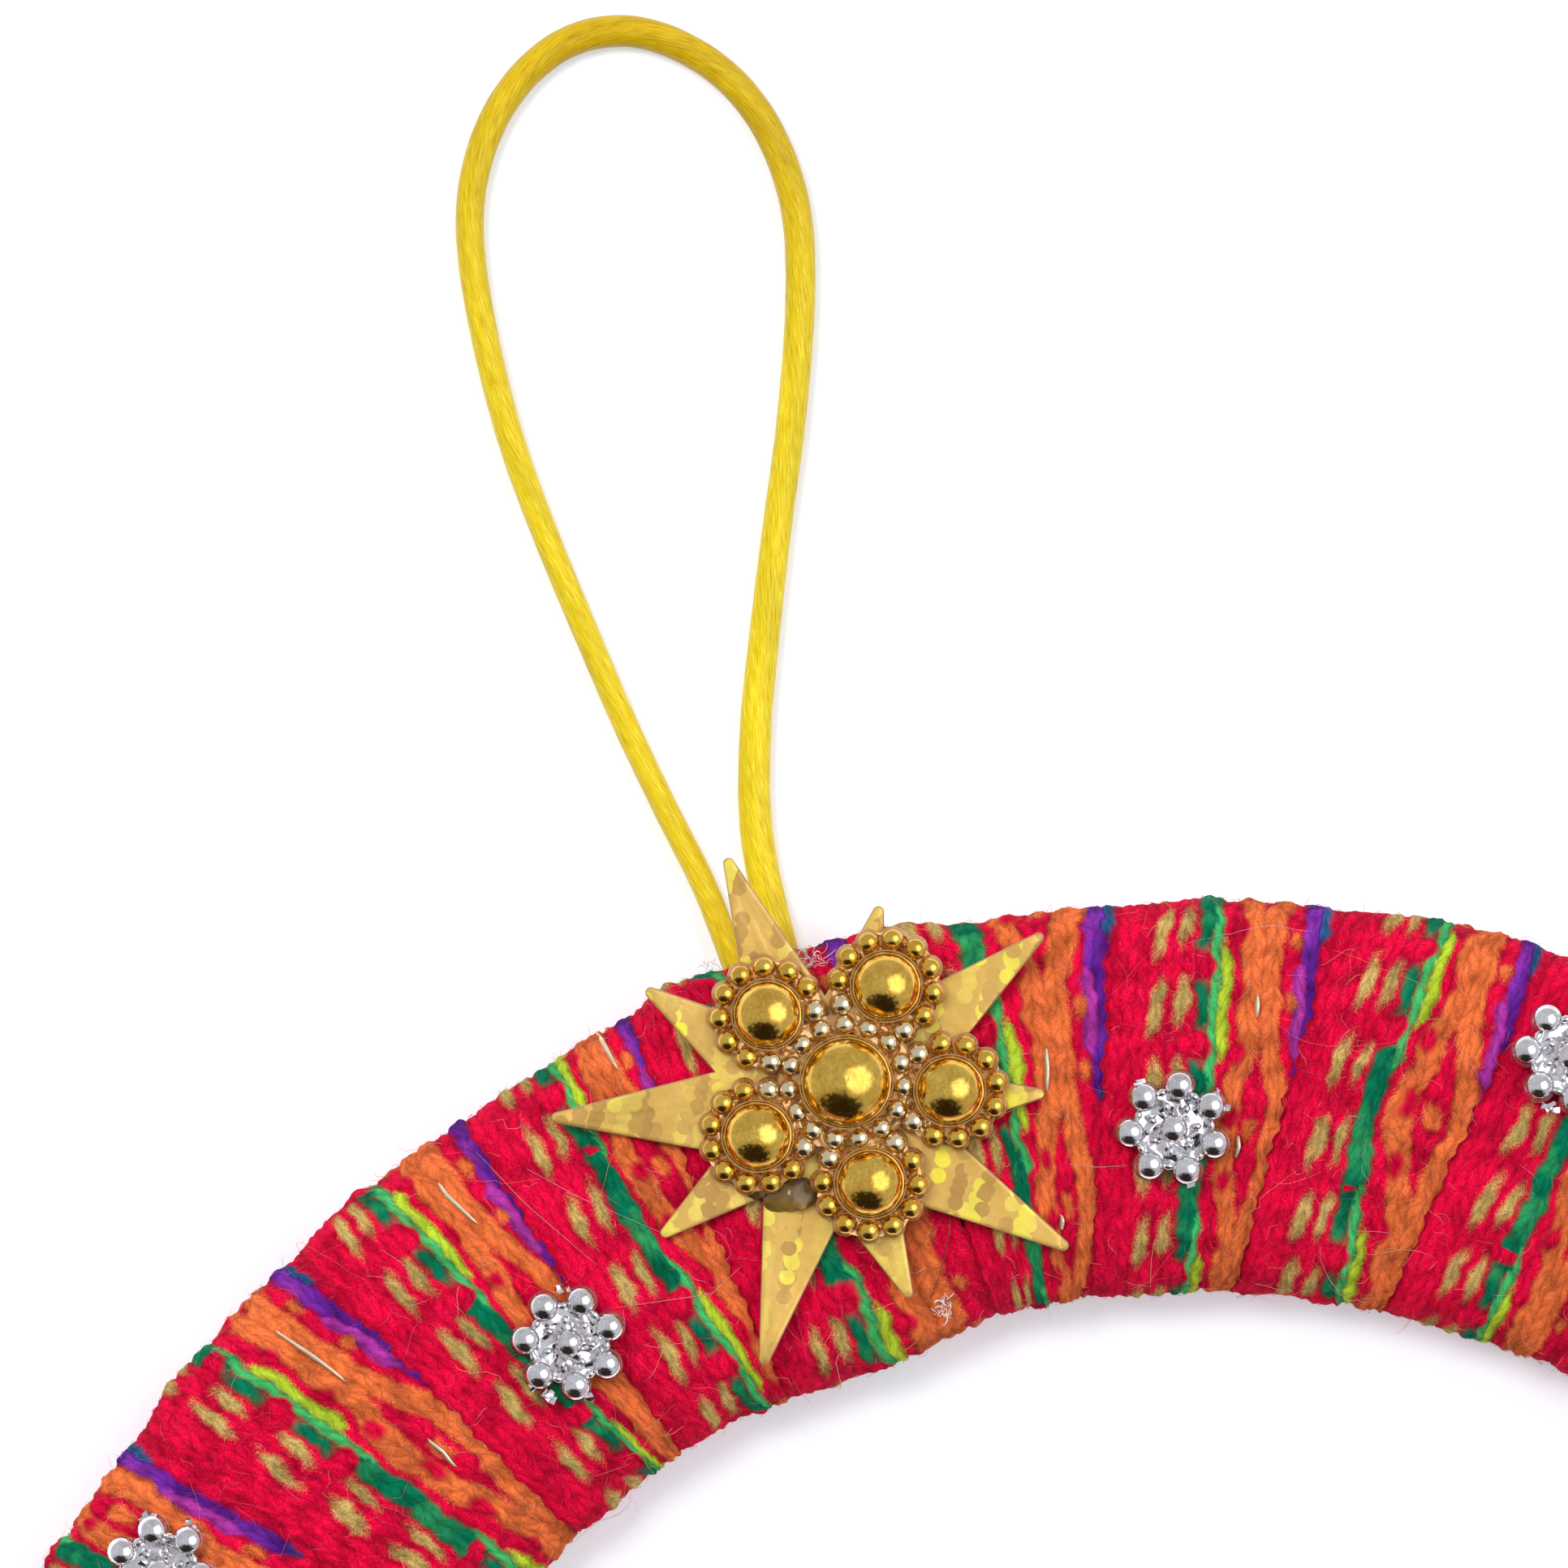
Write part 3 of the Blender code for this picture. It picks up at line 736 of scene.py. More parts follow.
# %% The pattern at any place of the strip
def woven_pattern(across, along, turns):
    """The distance of every yarn, the two dyes, and the places where the cloth's own waves put them."""
    across = spread_pattern(across, along, turns)
    shaken = across + 0.11 * ripple(across, along + 31.0 * turns, 1.8, 5)
    shaken = shaken + 0.14 * ripple(across, along, 5.0, 6)
    slid = along + 0.24 * ripple(across + 9.0 * turns, along, 4.0, 7)
    starts = fleck_starts[turns]
    cycle = from_nearest((slid - lime_starts[turns]) / CYCLE, 1.0)
    between = from_nearest(slid - starts - FLECK_PITCH / 2, FLECK_PITCH)
    knots = oval(shaken - GREEN_LINE + 0.45, between, 1.2, 0.95)
    beads = oval(shaken - GREEN_LINE - 2.55, from_nearest(slid - starts, CYCLE / 5), 0.55, 0.75)
    green, green_dye = green_yarn(shaken, slid, cycle, from_nearest(slid - starts, FLECK_PITCH))
    violet, violet_dye = violet_yarn(shaken, slid, np.mod(starts, 2.0))
    yarns = {
        "tan_fleck": fleck_yarn(shaken, slid, starts),
        "green_cord": green,
        "orange_chain": orange_yarn(shaken, slid, cycle),
        "violet_edge": violet,
    }
    from_lozenge = np.abs(from_nearest(cycle - LOZENGE_SHARE, 1.0)) * CYCLE
    lozenge = oval(shaken - ORANGE_LINE, from_lozenge - 2.0, 0.8, 1.1)
    knots = np.where(np.abs(cycle) < 0.3, knots, -1.0)
    yarns["crimson_knot"] = np.maximum(np.maximum(knots, beads), lozenge)
    return yarns, green_dye, violet_dye, shaken, slid


yarns, green_dye, violet_dye, waved_across, waved_along = woven_pattern(across_strip, along_strip, turns)
for name, distance in yarns.items():
    print(f"{name}: {(distance > 0).mean():.0%} of the cloth")

# %% [markdown]
# ## The cloth's relief
#
# The relief has three sizes. Each turn rises steeply at its folded red edge and falls slowly to the next
# one. The coloured yarns and the crimson knots stand out rounded. Last come the plies. Every yarn is two
# plies twisted together, and neighbouring yarns are twisted opposite ways, so the cloth looks like a
# herringbone. A zigzag over two yarns gives exactly that: added to the place along the strip, it makes the
# plies lean one way and then the other.

# %% The relief and the points
TURN_PROFILE = (
    (0, 0.4), (0.03, 0.6), (0.08, 0.88), (0.14, 1), (0.5, 0.88), (0.82, 0.58), (0.96, 0.46), (1, 0.4),
)
YARN_RISE = 0.24
KNOT_RISE = 0.34
FLECK_RISE = 0.2
PLY_RISE = 0.09
YARN_WIDTH = 0.8
PLY_PITCH = 1.3
PLY_LEAN = 1.8
SWELLS = (
    (-180, 0.5, 0.0), (-12, 0.5, 0.2), (-9, 0.7, 0.7), (-5, 1.7, 1.2), (1, 1.1, 1.0),
    (5, 0.9, 0.3), (8, 0.0, -0.1), (24, 0.4, -0.2), (40, 0.5, 0.0), (180, 0.5, 0.0),
)


def rounded(distance, half_width):
    """The height of a round yarn over its edge, from 0 to 1."""
    return np.sqrt(np.clip(distance / half_width, 0, 1))


def zigzag(place, half_period):
    """A straight-sided wave that climbs from 0 to the half period and falls again."""
    return half_period - np.abs(np.mod(place, 2 * half_period) - half_period)


def ply_relief():
    """The height of the twisted plies, from 0 in the gap between two yarns to 1 on top of a ply."""
    ridge = zigzag(waved_across, YARN_WIDTH / 2) / (YARN_WIDTH / 2)
    leaning = waved_along - PLY_LEAN * zigzag(waved_across, YARN_WIDTH)
    ply = zigzag(leaning, PLY_PITCH / 2) / (PLY_PITCH / 2)
    return rounded(ridge, 1.0) * (0.65 + 0.35 * ply)


def cloth_relief():
    """How far each point stands out from the padding, in millimetres."""
    relief = WINDING_RELIEF * 0.85 * np.interp(turn_shares, *zip(*TURN_PROFILE))
    for name, half_width in (("green_cord", 0.5), ("orange_chain", 0.7), ("violet_edge", 0.6)):
        relief += YARN_RISE * rounded(yarns[name], half_width)
    relief += FLECK_RISE * rounded(yarns["tan_fleck"], 0.45)
    relief += KNOT_RISE * rounded(yarns["crimson_knot"], 0.8)
    relief += PLY_RISE * ply_relief() - 0.04
    relief += 0.06 * ripple(across_strip, along_strip + 17.0 * turns, 0.9, 21)
    relief += 0.12 * ripple(across_strip + 40.0 * turns, along_strip, 5.0, 22)
    return relief


def swelling():
    """How far each point moves sideways, because the strip is wound thicker here and thinner there."""
    angle, outer, inner = zip(*SWELLS)
    side = section[:, 0, None] / HALF_BREADTH
    wound = (angles + 180) % 360 - 180
    outwards = np.interp(wound, angle, outer) * fade(side, 0.5, 1.0)
    return outwards - np.interp(wound, angle, inner) * fade(side, -0.5, -1.0)


def cloth_points(relief):
    """The grid's points: the section, moved out by the relief, at each angle, and none below the paper."""
    under = fade(row_places, crown_length, crown_length + 3)
    under = (under * fade(row_places, round_length, round_length - 3))[:, None]
    flatter = np.where(under > 0.5, 0.3 * (relief - WINDING_RELIEF), relief)
    lift = relief + (flatter - relief) * under
    radius = MIDDLE_RADIUS + section[:, 0, None] + swelling() + lift * row_normals[:, 0, None]
    height = np.maximum(section[:, 1, None] + lift * row_normals[:, 1, None], 0.02)
    turn = np.radians(angles)
    return np.stack([radius * np.sin(turn), RING_CENTRE_Y + radius * np.cos(turn), height], axis=-1)


cloth = cloth_points(cloth_relief())
print("cloth reaches", np.round(cloth.reshape(-1, 3).max(axis=0), 1), "mm")

# %% [markdown]
# The two ends of the cord lie in a shallow seat in the ring's back, so the cloth is pressed in there. The
# seat is worked out from the cord's own ends.

# %% The cord's seat in the back
SEAT_CLEARANCE = 0.4


def press_seat(points):
    """Lifts the back's points over the cord's two ends."""
    ends = cord_line[[0, -1], :2]
    margin = CORD_DIAMETER / 2 + SEAT_CLEARANCE
    low = ends.min(axis=0) - (margin, SEAT_CLEARANCE)
    high = (ends[:, 0].max() + margin, RING_CENTRE_Y + RING_OUTER_RADIUS + SEAT_CLEARANCE)
    inside = np.minimum(points[..., :2] - low, high - points[..., :2]).min(axis=-1)
    roof = (CORD_OFF_FLOOR + CORD_DIAMETER + SEAT_CLEARANCE) * fade(inside, -0.25, 0.15)
    back = (np.arange(len(points)) > CROWN_ROWS)[:, None]
    points[..., 2] = np.where(back, np.maximum(points[..., 2], roof), points[..., 2])
    return int((back & (inside > 0)).sum())


print("points lifted for the cord's seat:", press_seat(cloth))

# %% [markdown]
# ## Dyed wool
#
# The strip is wool, woven and slightly felted: matt, with a soft bloom where fibres stand up against the
# light. The mesh carries every yarn's distance, so the material only has to ask, for each point, which yarn
# it is in. A little fibre noise is added to the distances first, which makes the borders hairy instead of
# drawn. A real fibre is half as wide as this noise, which would be too fine to show. The light can't reach
# far down between yarns, and the cloth is darkest in the crease under each turn's edge, so painted shade
# darkens the colour there, and along the borders between yarns.

# %% Yarn colours
CRIMSON = ("#a60228", "#dc0336", "#f03058")
TAN = ("#987a40", "#c6a45a", "#e0ca8e")
ORANGE = ("#b84a24", "#e66c36", "#f4935e")
GREENS = ("#04704f", "#45b866", "#b8d034")
VIOLETS = ("#20688f", "#4a1478", "#7c2fa4", "#b5389c")
FIBRE_WIDTH = 0.05
FIBRE_LENGTH = 0.16
FIBRE_LEAN = 18
HAIRY_BORDER = 0.15
CLOUD_SIZE = 1.5


# %% The woollen strip's material
def brushed_wool_strip():
    """Dyed wool yarns, two plies each: no gloss, deep shade between yarns, fibres that follow the twist."""
    look = {"Roughness": 0.95, "Sheen Weight": 0.01, "Sheen Roughness": 0.5, "Specular IOR Level": 0.06}
    material, node = begin_material("brushed_wool_strip", look)
    place = node("Attribute", output="Vector", attribute_name="strip_place")
    parts = node("SeparateXYZ", {0: place}).node.outputs
    across, along = parts["X"], parts["Y"]

    def waved(value, half_period):
        """A zigzag between 0 and 1 over this half period."""
        wave = node("Math", {0: value, 1: half_period}, operation="PINGPONG")
        return node("Math", {0: wave, 1: half_period}, operation="DIVIDE")

    grains = []
    for lean in (FIBRE_LEAN, -FIBRE_LEAN):
        turned = node("Mapping", {"Vector": place, "Rotation": (0, 0, math.radians(lean))})
        finer = {"Vector": turned, "Scale": (1 / FIBRE_WIDTH, 1 / FIBRE_LENGTH, 1.0)}
        finer = node("Mapping", finer)
        grains.append(node("TexNoise", {"Vector": finer, "Scale": 1.0, "Detail": 4.0}))
    two_yarns = node("Math", {0: across, 1: 2 * YARN_WIDTH}, operation="FLOORED_MODULO")
    second_yarn = node("Math", {0: two_yarns, 1: YARN_WIDTH}, operation="GREATER_THAN")
    grain = node("Mix", {0: second_yarn, 2: grains[0], 3: grains[1]})
    tone = node("MapRange", {0: grain, 1: 0.25, 2: 0.75, 3: 0.12, 4: 0.88})
    shake = node("MapRange", {0: grain, 1: 0.3, 2: 0.7, 3: -HAIRY_BORDER, 4: HAIRY_BORDER})

    ridge = waved(across, YARN_WIDTH / 2)
    leaning = {0: waved(across, YARN_WIDTH), 1: -PLY_LEAN * YARN_WIDTH, 2: along}
    ply = waved(node("Math", leaning, operation="MULTIPLY_ADD"), PLY_PITCH / 2)
    painted_crease_shade = node("Attribute", output="Fac", attribute_name="painted_crease_shade")
    clouds = node("TexNoise", {"Vector": place, "Scale": 1 / CLOUD_SIZE, "Detail": 3.0})
    # Painted shade: the colour is darkened in the grooves between yarns and plies and in the crease under
    # each turn's edge; the clouds make it lighter and darker at random.
    shades = [
        node("MapRange", {0: ridge, 2: 0.45, 3: 0.76, 4: 1.04}),
        node("MapRange", {0: ply, 2: 0.5, 3: 0.8, 4: 1.05}),
        node("MapRange", {0: painted_crease_shade, 3: 1.0, 4: 0.74}),
        node("MapRange", {0: clouds, 1: 0.34, 2: 0.62, 3: 0.64, 4: 1.1}),
    ]

    def dyed(name, colours):
        """The colours of a yarn whose dye the mesh carries, lighter and darker with the grain."""
        dye = node("Attribute", output="Fac", attribute_name=name)
        ramp = node("ValToRGB", {0: dye}, stops=evenly(colours))
        lit = node("MapRange", {0: tone, 3: 0.65, 4: 1.28})
        return node("VectorMath", {0: ramp, 1: lit}, operation="MULTIPLY")

    colour = node("ValToRGB", {0: tone}, stops=evenly(CRIMSON))
    layers = (
        ("violet_edge", dyed("violet_dye", VIOLETS)),
        ("orange_chain", node("ValToRGB", {0: tone}, stops=evenly(ORANGE))),
        ("green_cord", dyed("green_dye", GREENS)),
        ("tan_fleck", node("ValToRGB", {0: tone}, stops=evenly(TAN))),
        ("crimson_knot", colour),
    )
    for name, yarn in layers:
        distance = node("Attribute", output="Fac", attribute_name=name)
        shaken = node("Math", {0: distance, 1: shake}, operation="ADD")
        inside = node("MapRange", {0: shaken, 1: -HAIRY_BORDER, 2: HAIRY_BORDER})
        colour = node("Mix", {0: inside, 6: colour, 7: yarn}, 2, data_type="RGBA")
        # Painted shade along each yarn's border.
        from_border = node("Math", {0: shaken}, operation="ABSOLUTE")
        shades.append(node("MapRange", {0: from_border, 2: 0.24, 3: 0.8}))
    for shade in shades:
        colour = node("VectorMath", {0: colour, 1: shade}, operation="MULTIPLY")
    relief = node("Math", {0: ridge, 1: ply, 2: grain}, operation="MULTIPLY_ADD")
    return finished(material, colour, relief, strength=0.35, depth=0.15)


# %% [markdown]
# The cloth is cut into four pieces of nine turns, so that no mesh grows too heavy. Each is a closed grid,
# and its two ends meet the next pieces under a red edge, where nothing shows.

# %% The wound strip's pieces
STRIP_PIECES = 4
turns_each = TURNS // STRIP_PIECES
strip_material = brushed_wool_strip()
# Painted shade in the crease under each turn's edge, from 0 to 1.
painted_crease_shade = np.maximum(fade(turn_shares, 0.93, 0.995), fade(turn_shares, 0.02, 0.0))
carried = {**yarns, "green_dye": green_dye, "violet_dye": violet_dye, "painted_crease_shade": painted_crease_shade}
strip_place = np.stack([waved_across, waved_along, 13.7 * turns], axis=-1)


def grid_faces(rows, columns):
    """The quads of a grid that closes on itself row by row, and the ladders of quads over its two ends."""
    row, column = np.meshgrid(np.arange(rows), np.arange(columns - 1), indexing="ij")
    here = column * rows + row
    above = column * rows + (row + 1) % rows
    skin = np.stack([here, above, above + rows, here + rows], axis=-1).reshape(-1, 4)
    rung = np.arange(rows // 2 - 1)
    start = np.stack([rung, rows - 1 - rung, rows - 2 - rung, rung + 1], axis=-1)
    end = start[:, ::-1] + (columns - 1) * rows
    return np.vstack([skin, start, end])


def wound_strip_piece(number):
    """One quarter of the wound cloth."""
    first, last = first_columns[[number * turns_each, (number + 1) * turns_each]]
    columns = np.arange(first, last + 1) % cloth.shape[1]
    points = cloth[:, columns].transpose(1, 0, 2).reshape(-1, 3)
    mesh = make_mesh(f"wound_strip_{number + 1}", points, grid_faces(len(section), len(columns)))
    for name, values in carried.items():
        carry(mesh, name, values[:, columns].T.reshape(-1, 1))
    carry(mesh, "strip_place", strip_place[:, columns].transpose(1, 0, 2).reshape(-1, 3))
    return make_piece(mesh.name, mesh, strip_material, "woven_strip", "wreath_ring")


for number in range(STRIP_PIECES):
    wound_strip_piece(number)

# %% [markdown]
# ## Loose fibres
#
# What makes wool look like wool is the fibre that stands off it. A bump can't give that at the edges, so
# the fibres are real: tens of thousands of thin closed spindles, each three-sided and pointed at both ends.
# One function lays them along short curved lines. They take the colour of the yarn that they come from.


# %% Fibres as thin spindles
def spindles(lines, widths, thickness=1.0):
    """Points and triangles of spindles along these lines, an array of (fibres, points along, 3).

    A thickness below 1 makes them as flat as tapes.
    """
    fibres, stops, _ = lines.shape
    along = unit(np.gradient(lines, axis=1))
    guide = np.where(np.abs(along[..., 2:]) > 0.9, (1.0, 0.0, 0.0), (0.0, 0.0, 1.0))
    side = unit(np.cross(along, guide))
    up = np.cross(side, along) * thickness
    taper = np.sin(np.linspace(0, math.pi, stops)[1:-1]) ** 0.4
    turn = np.radians((90, 210, 330))
    spokes = np.cos(turn)[:, None] * up[:, 1:-1, None] + np.sin(turn)[:, None] * side[:, 1:-1, None]
    rings = lines[:, 1:-1, None] + spokes * (widths[:, None] / 2 * taper)[..., None, None]
    points = np.concatenate([lines[:, :1], rings.reshape(fibres, -1, 3), lines[:, -1:]], axis=1)
    each = points.shape[1]
    faces = closed_faces(stops - 2, 3) + each * np.arange(fibres)[:, None, None]
    return points.reshape(-1, 3), faces.reshape(-1, 3), each


# %% [markdown]
# A fibre needs to know where the cloth is. The grid answers that: at a place given in rows and columns, its
# points are mixed to the surface point, the way out of it, and the directions along and across the strip.


# %% Places on the cloth
def mixed(grid, row, column):
    """The grid's value between its points. It closes on itself both ways."""
    low_row, low_column = np.floor(row).astype(int), np.floor(column).astype(int)
    total = 0.0
    for down, over in ((0, 0), (0, 1), (1, 0), (1, 1)):
        share = np.abs(1 - down - (row - low_row)) * np.abs(1 - over - (column - low_column))
        corner = grid[(low_row + down) % grid.shape[0], (low_column + over) % grid.shape[1]]
        total = total + corner * share.reshape(share.shape + (1,) * (grid.ndim - 2))
    return total


def nearest(grid, row, column):
    """The grid's value at its point nearest to each place."""
    return grid[np.round(row).astype(int) % grid.shape[0], np.round(column).astype(int) % grid.shape[1]]


down_strip = unit(np.roll(cloth, -2, axis=0) - np.roll(cloth, 2, axis=0))
over_strip = unit(np.roll(cloth, -2, axis=1) - np.roll(cloth, 2, axis=1))
out_of_cloth = unit(np.cross(down_strip, over_strip))
print("way out of the crown, z:", round(float(out_of_cloth[CROWN_ROWS // 2, :, 2].mean()), 2))


# %% The colour of the yarn under a fibre
def blended(colours, value):
    """The linear colour for each value from 0 to 1, from these sRGB ones in even steps."""
    places, colours = zip(*evenly(colours))
    return columns_at(value, places, [linear(colour)[:3] for colour in colours])


def yarn_colours(row, column, draw, pale=0.08):
    """The linear colour of the yarn at each place, a little lighter from fibre to fibre and mixed towards
    white by a painted highlight.
    """
    lightness = draw.uniform(0.3, 0.9, len(row))
    colours = blended(CRIMSON, lightness)
    layers = (
        ("violet_edge", blended(VIOLETS, nearest(violet_dye, row, column))),
        ("orange_chain", blended(ORANGE, lightness)),
        ("green_cord", blended(GREENS, nearest(green_dye, row, column))),
        ("tan_fleck", blended(TAN, lightness)),
        ("crimson_knot", colours),
    )
    for name, yarn in layers:
        inside = (nearest(yarns[name], row, column) + draw.normal(0, 0.08, len(row)) > 0)[:, None]
        colours = np.where(inside, yarn, colours)
    # Painted highlight: each fibre is mixed towards white by a random share, up to pale.
    painted_highlight = draw.uniform(0.0, 1.0, len(row))[:, None] ** 3 * pale
    return colours + (1.0 - colours) * painted_highlight


# %% [markdown]
# A wool fibre is 0.02 to 0.04 mm thick, and it is drawn so. That is less than a pixel of the picture, so a
# single fibre only tints what lies behind it, as in the photograph. Its fine scales make it a little
# uneven.


# %% Loose wool's material
def loose_wool_fibre():
    """Single dyed wool hairs: matt, with a faint sheen along their length."""
    look = {"Roughness": 0.8, "Sheen Weight": 0.08, "Sheen Roughness": 0.4, "Specular IOR Level": 0.2}
    material, node = begin_material("loose_wool_fibre", look)
    scale_size = 0.4
    dye = node("Attribute", output="Color", attribute_name="fibre_colour")
    place = node("NewGeometry", output="Position")
    scales = node("TexNoise", {"Vector": place, "Scale": 1 / (scale_size * MM), "Detail": 2.0})
    lit = node("MapRange", {0: scales, 1: 0.3, 2: 0.7, 3: 0.85, 4: 1.15})
    return finished(material, node("VectorMath", {0: dye, 1: lit}, operation="MULTIPLY"))


fibre_material = loose_wool_fibre()
LOWEST_FIBRE = 0.05


def fibre_piece(name, lines, widths, colours):
    """A piece of loose fibres, each of one colour. None goes below the paper."""
    points, faces, each = spindles(lines, widths)
    points[:, 2] = np.maximum(points[:, 2], LOWEST_FIBRE)
    mesh = make_mesh(name, points, faces)
    opaque = np.hstack([colours, np.ones((len(colours), 1))])
    carry(mesh, "fibre_colour", np.repeat(opaque, each, axis=0))
    make_piece(name, mesh, fibre_material, "woven_strip")


# %% [markdown]
# Most fibres lie down. They run roughly with the yarn and lift a little in the middle, so that they catch
# the light over the yarn's own shade. They are spread by the cloth's real area, which is why the outer edge
# gets more.

# %% Fibres that lie on the cloth
LYING_FIBRES = 30000


def random_places(count, draw, first_row, last_row):
    """Random rows and columns, even by area between two rows and round the ring."""
    rows = np.arange(first_row, last_row)
    spacing = np.diff(np.append(row_places, round_length))[rows % len(row_places)]
    weight = spacing * (MIDDLE_RADIUS + section[rows % len(row_places), 0])
    row = draw.choice(rows, count, p=weight / weight.sum()) + draw.uniform(0, 1, count)
    round_ring = np.append(angles[CROWN_ROWS // 2], angles[CROWN_ROWS // 2, 0] + 360)
    heading = round_ring[0] + draw.uniform(0, 360, count)
    return row, np.interp(heading, round_ring, np.arange(len(round_ring)))


def ways_from(row, column, turn):
    """Each fibre's way along the cloth, turned from the strip's length, the way out and the way aside."""
    down, over = mixed(down_strip, row, column), mixed(over_strip, row, column)
    flat = unit(down * np.cos(turn) + over * np.sin(turn))
    out = unit(mixed(out_of_cloth, row, column))
    return flat, out, np.cross(flat, out)


def lines_from(row, column, *moves):
    """Lines that start on the cloth. A move is a way for each line, and how far it goes at each stop."""
    return mixed(cloth, row, column)[:, None] + sum(way[:, None] * far[..., None] for way, far in moves)


def lying_lines(row, column, draw, stops=3):
    """A short curved line on the cloth for each fibre."""
    count = len(row)
    twist = np.where(np.mod(nearest(waved_across, row, column), 2 * YARN_WIDTH) > YARN_WIDTH, -1, 1)
    turn = np.radians(twist * draw.normal(FIBRE_LEAN, 36, count))[:, None]
    along, out, side = ways_from(row, column, turn)
    length = draw.uniform(0.4, 1.3, count)[:, None]
    bend = draw.normal(0, 0.26, count)[:, None] * length
    rise = draw.uniform(0.03, 0.18, count)[:, None]
    share = np.linspace(0, 1, stops)
    arch = 4 * share * (1 - share)
    lift = (rise + 0.04) * arch - 0.04
    return lines_from(row, column, (along, length * (share - 0.5)), (side, bend * arch), (out, lift))


draw = np.random.default_rng(101)
row, column = random_places(LYING_FIBRES, draw, -CORNER_ROWS, CROWN_ROWS + CORNER_ROWS)
halves = (column // (cloth.shape[1] / 2)).astype(int)
lines = lying_lines(row, column, draw)
widths = draw.uniform(0.022, 0.042, LYING_FIBRES)
colours = yarn_colours(row, column, draw)
for half in range(2):
    chosen = halves == half
    fibre_piece(f"lying_fibres_{half + 1}", lines[chosen], widths[chosen], colours[chosen])

# %% [markdown]
# Other fibres stand off the cloth as a halo of fine curls, shorter at the ring's sides, where hands have
# worn them, and a few long hairs wander over several turns. These have more points along them, so that they
# curl. Four hairs that the photograph shows well have their own routes.

# %% Fibres that stand off the cloth
HALO_FIBRES = 7400
LONG_HAIRS = 150
MM_PER_COLUMN = 0.22


def standing_lines(row, column, draw, stops=6):
    """Curling lines that leave the cloth at one end."""
    count = len(row)
    flat, out, side = ways_from(row, column, draw.uniform(0, math.tau, count)[:, None])
    steep = np.radians(draw.uniform(12, 60, count))[:, None]
    along = flat * np.cos(steep) + out * np.sin(steep)
    length = ((draw.gamma(3.0, 0.5, count) + 0.5) * np.clip(out[:, 2] / 0.6, 0.3, 1.0))[:, None]
    share = np.linspace(0, 1, stops)
    curl = draw.normal(0, 0.35, count)[:, None] * length
    wave = draw.uniform(0.0, 0.16, count)[:, None] * np.sin(draw.uniform(4.0, 9.0, count)[:, None] * share)
    fall = np.sin(steep) * draw.uniform(0.2, 0.9, count)[:, None] * length
    aside = curl * share**2 + wave * length
    return lines_from(row, column, (along, length * share), (side, aside), (out, -0.05 - fall * share**2))


def wandering_lines(count, draw, stops=16):
    """Long hairs that lie loosely across the cloth, and the places that they start from."""
    row, column = random_places(count, draw, 6, CROWN_ROWS - 6)
    heading = draw.uniform(0, math.tau, count)[:, None]
    share = np.linspace(0, 1, stops)
    turn = heading + draw.normal(0, 0.9, count)[:, None] * share
    step = draw.uniform(5.0, 15.0, count)[:, None] / stops
    rows = row[:, None] + np.cumsum(np.cos(turn) * step, axis=1) / (crown_length / CROWN_ROWS)
    rows = np.clip(rows, -4, CROWN_ROWS + 3)
    columns = column[:, None] + np.cumsum(np.sin(turn) * step, axis=1) / MM_PER_COLUMN
    arch = draw.uniform(0.15, 0.7, count)[:, None] * np.sin(math.pi * share)
    lift = (0.05 + arch + 0.12 * np.sin(5 * share))[..., None]
    return mixed(cloth, rows, columns) + unit(mixed(out_of_cloth, rows, columns)) * lift, row, column


draw = np.random.default_rng(202)
row, column = random_places(HALO_FIBRES, draw, -CORNER_ROWS, CROWN_ROWS + CORNER_ROWS)
widths = draw.uniform(0.018, 0.034, HALO_FIBRES)
lines = standing_lines(row, column, draw)
# The halo fibres and the long hairs get a stronger painted highlight: they are mixed further towards white.
fibre_piece("halo_fibres", lines, widths, yarn_colours(row, column, draw, pale=0.45))
lines, row, column = wandering_lines(LONG_HAIRS, draw)
widths = draw.uniform(0.02, 0.035, LONG_HAIRS)
fibre_piece("long_hairs", lines, widths, yarn_colours(row, column, draw, pale=0.5))


# %% Places on the cloth by pixel
def cloth_rows_columns(pixels):
    """The grid's row and column at each of these pixels of the photograph."""
    across, down = np.array(pixels, float).T
    right, up = (across - RING_CENTRE_PIXEL[0]) * MM_PER_PIXEL, (RING_CENTRE_PIXEL[1] - down) * MM_PER_PIXEL
    row = np.interp(MIDDLE_RADIUS - np.hypot(right, up), -section[:CROWN_ROWS, 0], np.arange(CROWN_ROWS))
    heading = np.degrees(np.arctan2(right, up) + PICTURE_TURN)
    column = []
    for number, angle in zip(np.round(row).astype(int), heading):
        start = angles[number, 0]
        column.append(np.interp(start + (angle - start) % 360, angles[number], np.arange(angles.shape[1])))
    return row, np.array(column)


def line_on_cloth(pixels, stops, lift):
    """A smooth line on the cloth through these pixels, lifted between its ends."""
    row, column = cloth_rows_columns(pixels)
    route = np.hstack([mixed(cloth, row, column), mixed(out_of_cloth, row, column)])
    line = columns_at(np.linspace(0, len(pixels) - 1, stops), np.arange(len(pixels)), route)
    arch = np.sin(math.pi * np.linspace(0, 1, stops)) ** 0.5
    return line[:, :3] + unit(line[:, 3:]) * (lift * arch - 0.1)[:, None]


STRAY_HAIRS = (
    ((590, 1425), (650, 1478), (740, 1560)),
    ((600, 1425), (715, 1472), (860, 1535)),
    ((745, 1610), (870, 1592), (915, 1555)),
    ((1310, 1432), (1350, 1433), (1390, 1432)),
)
lines = np.array([line_on_cloth(pixels, stops=24, lift=0.9) for pixels in STRAY_HAIRS])
fibre_piece("stray_hairs", lines, np.full(len(lines), 0.04), np.full((len(lines), 3), 0.45))

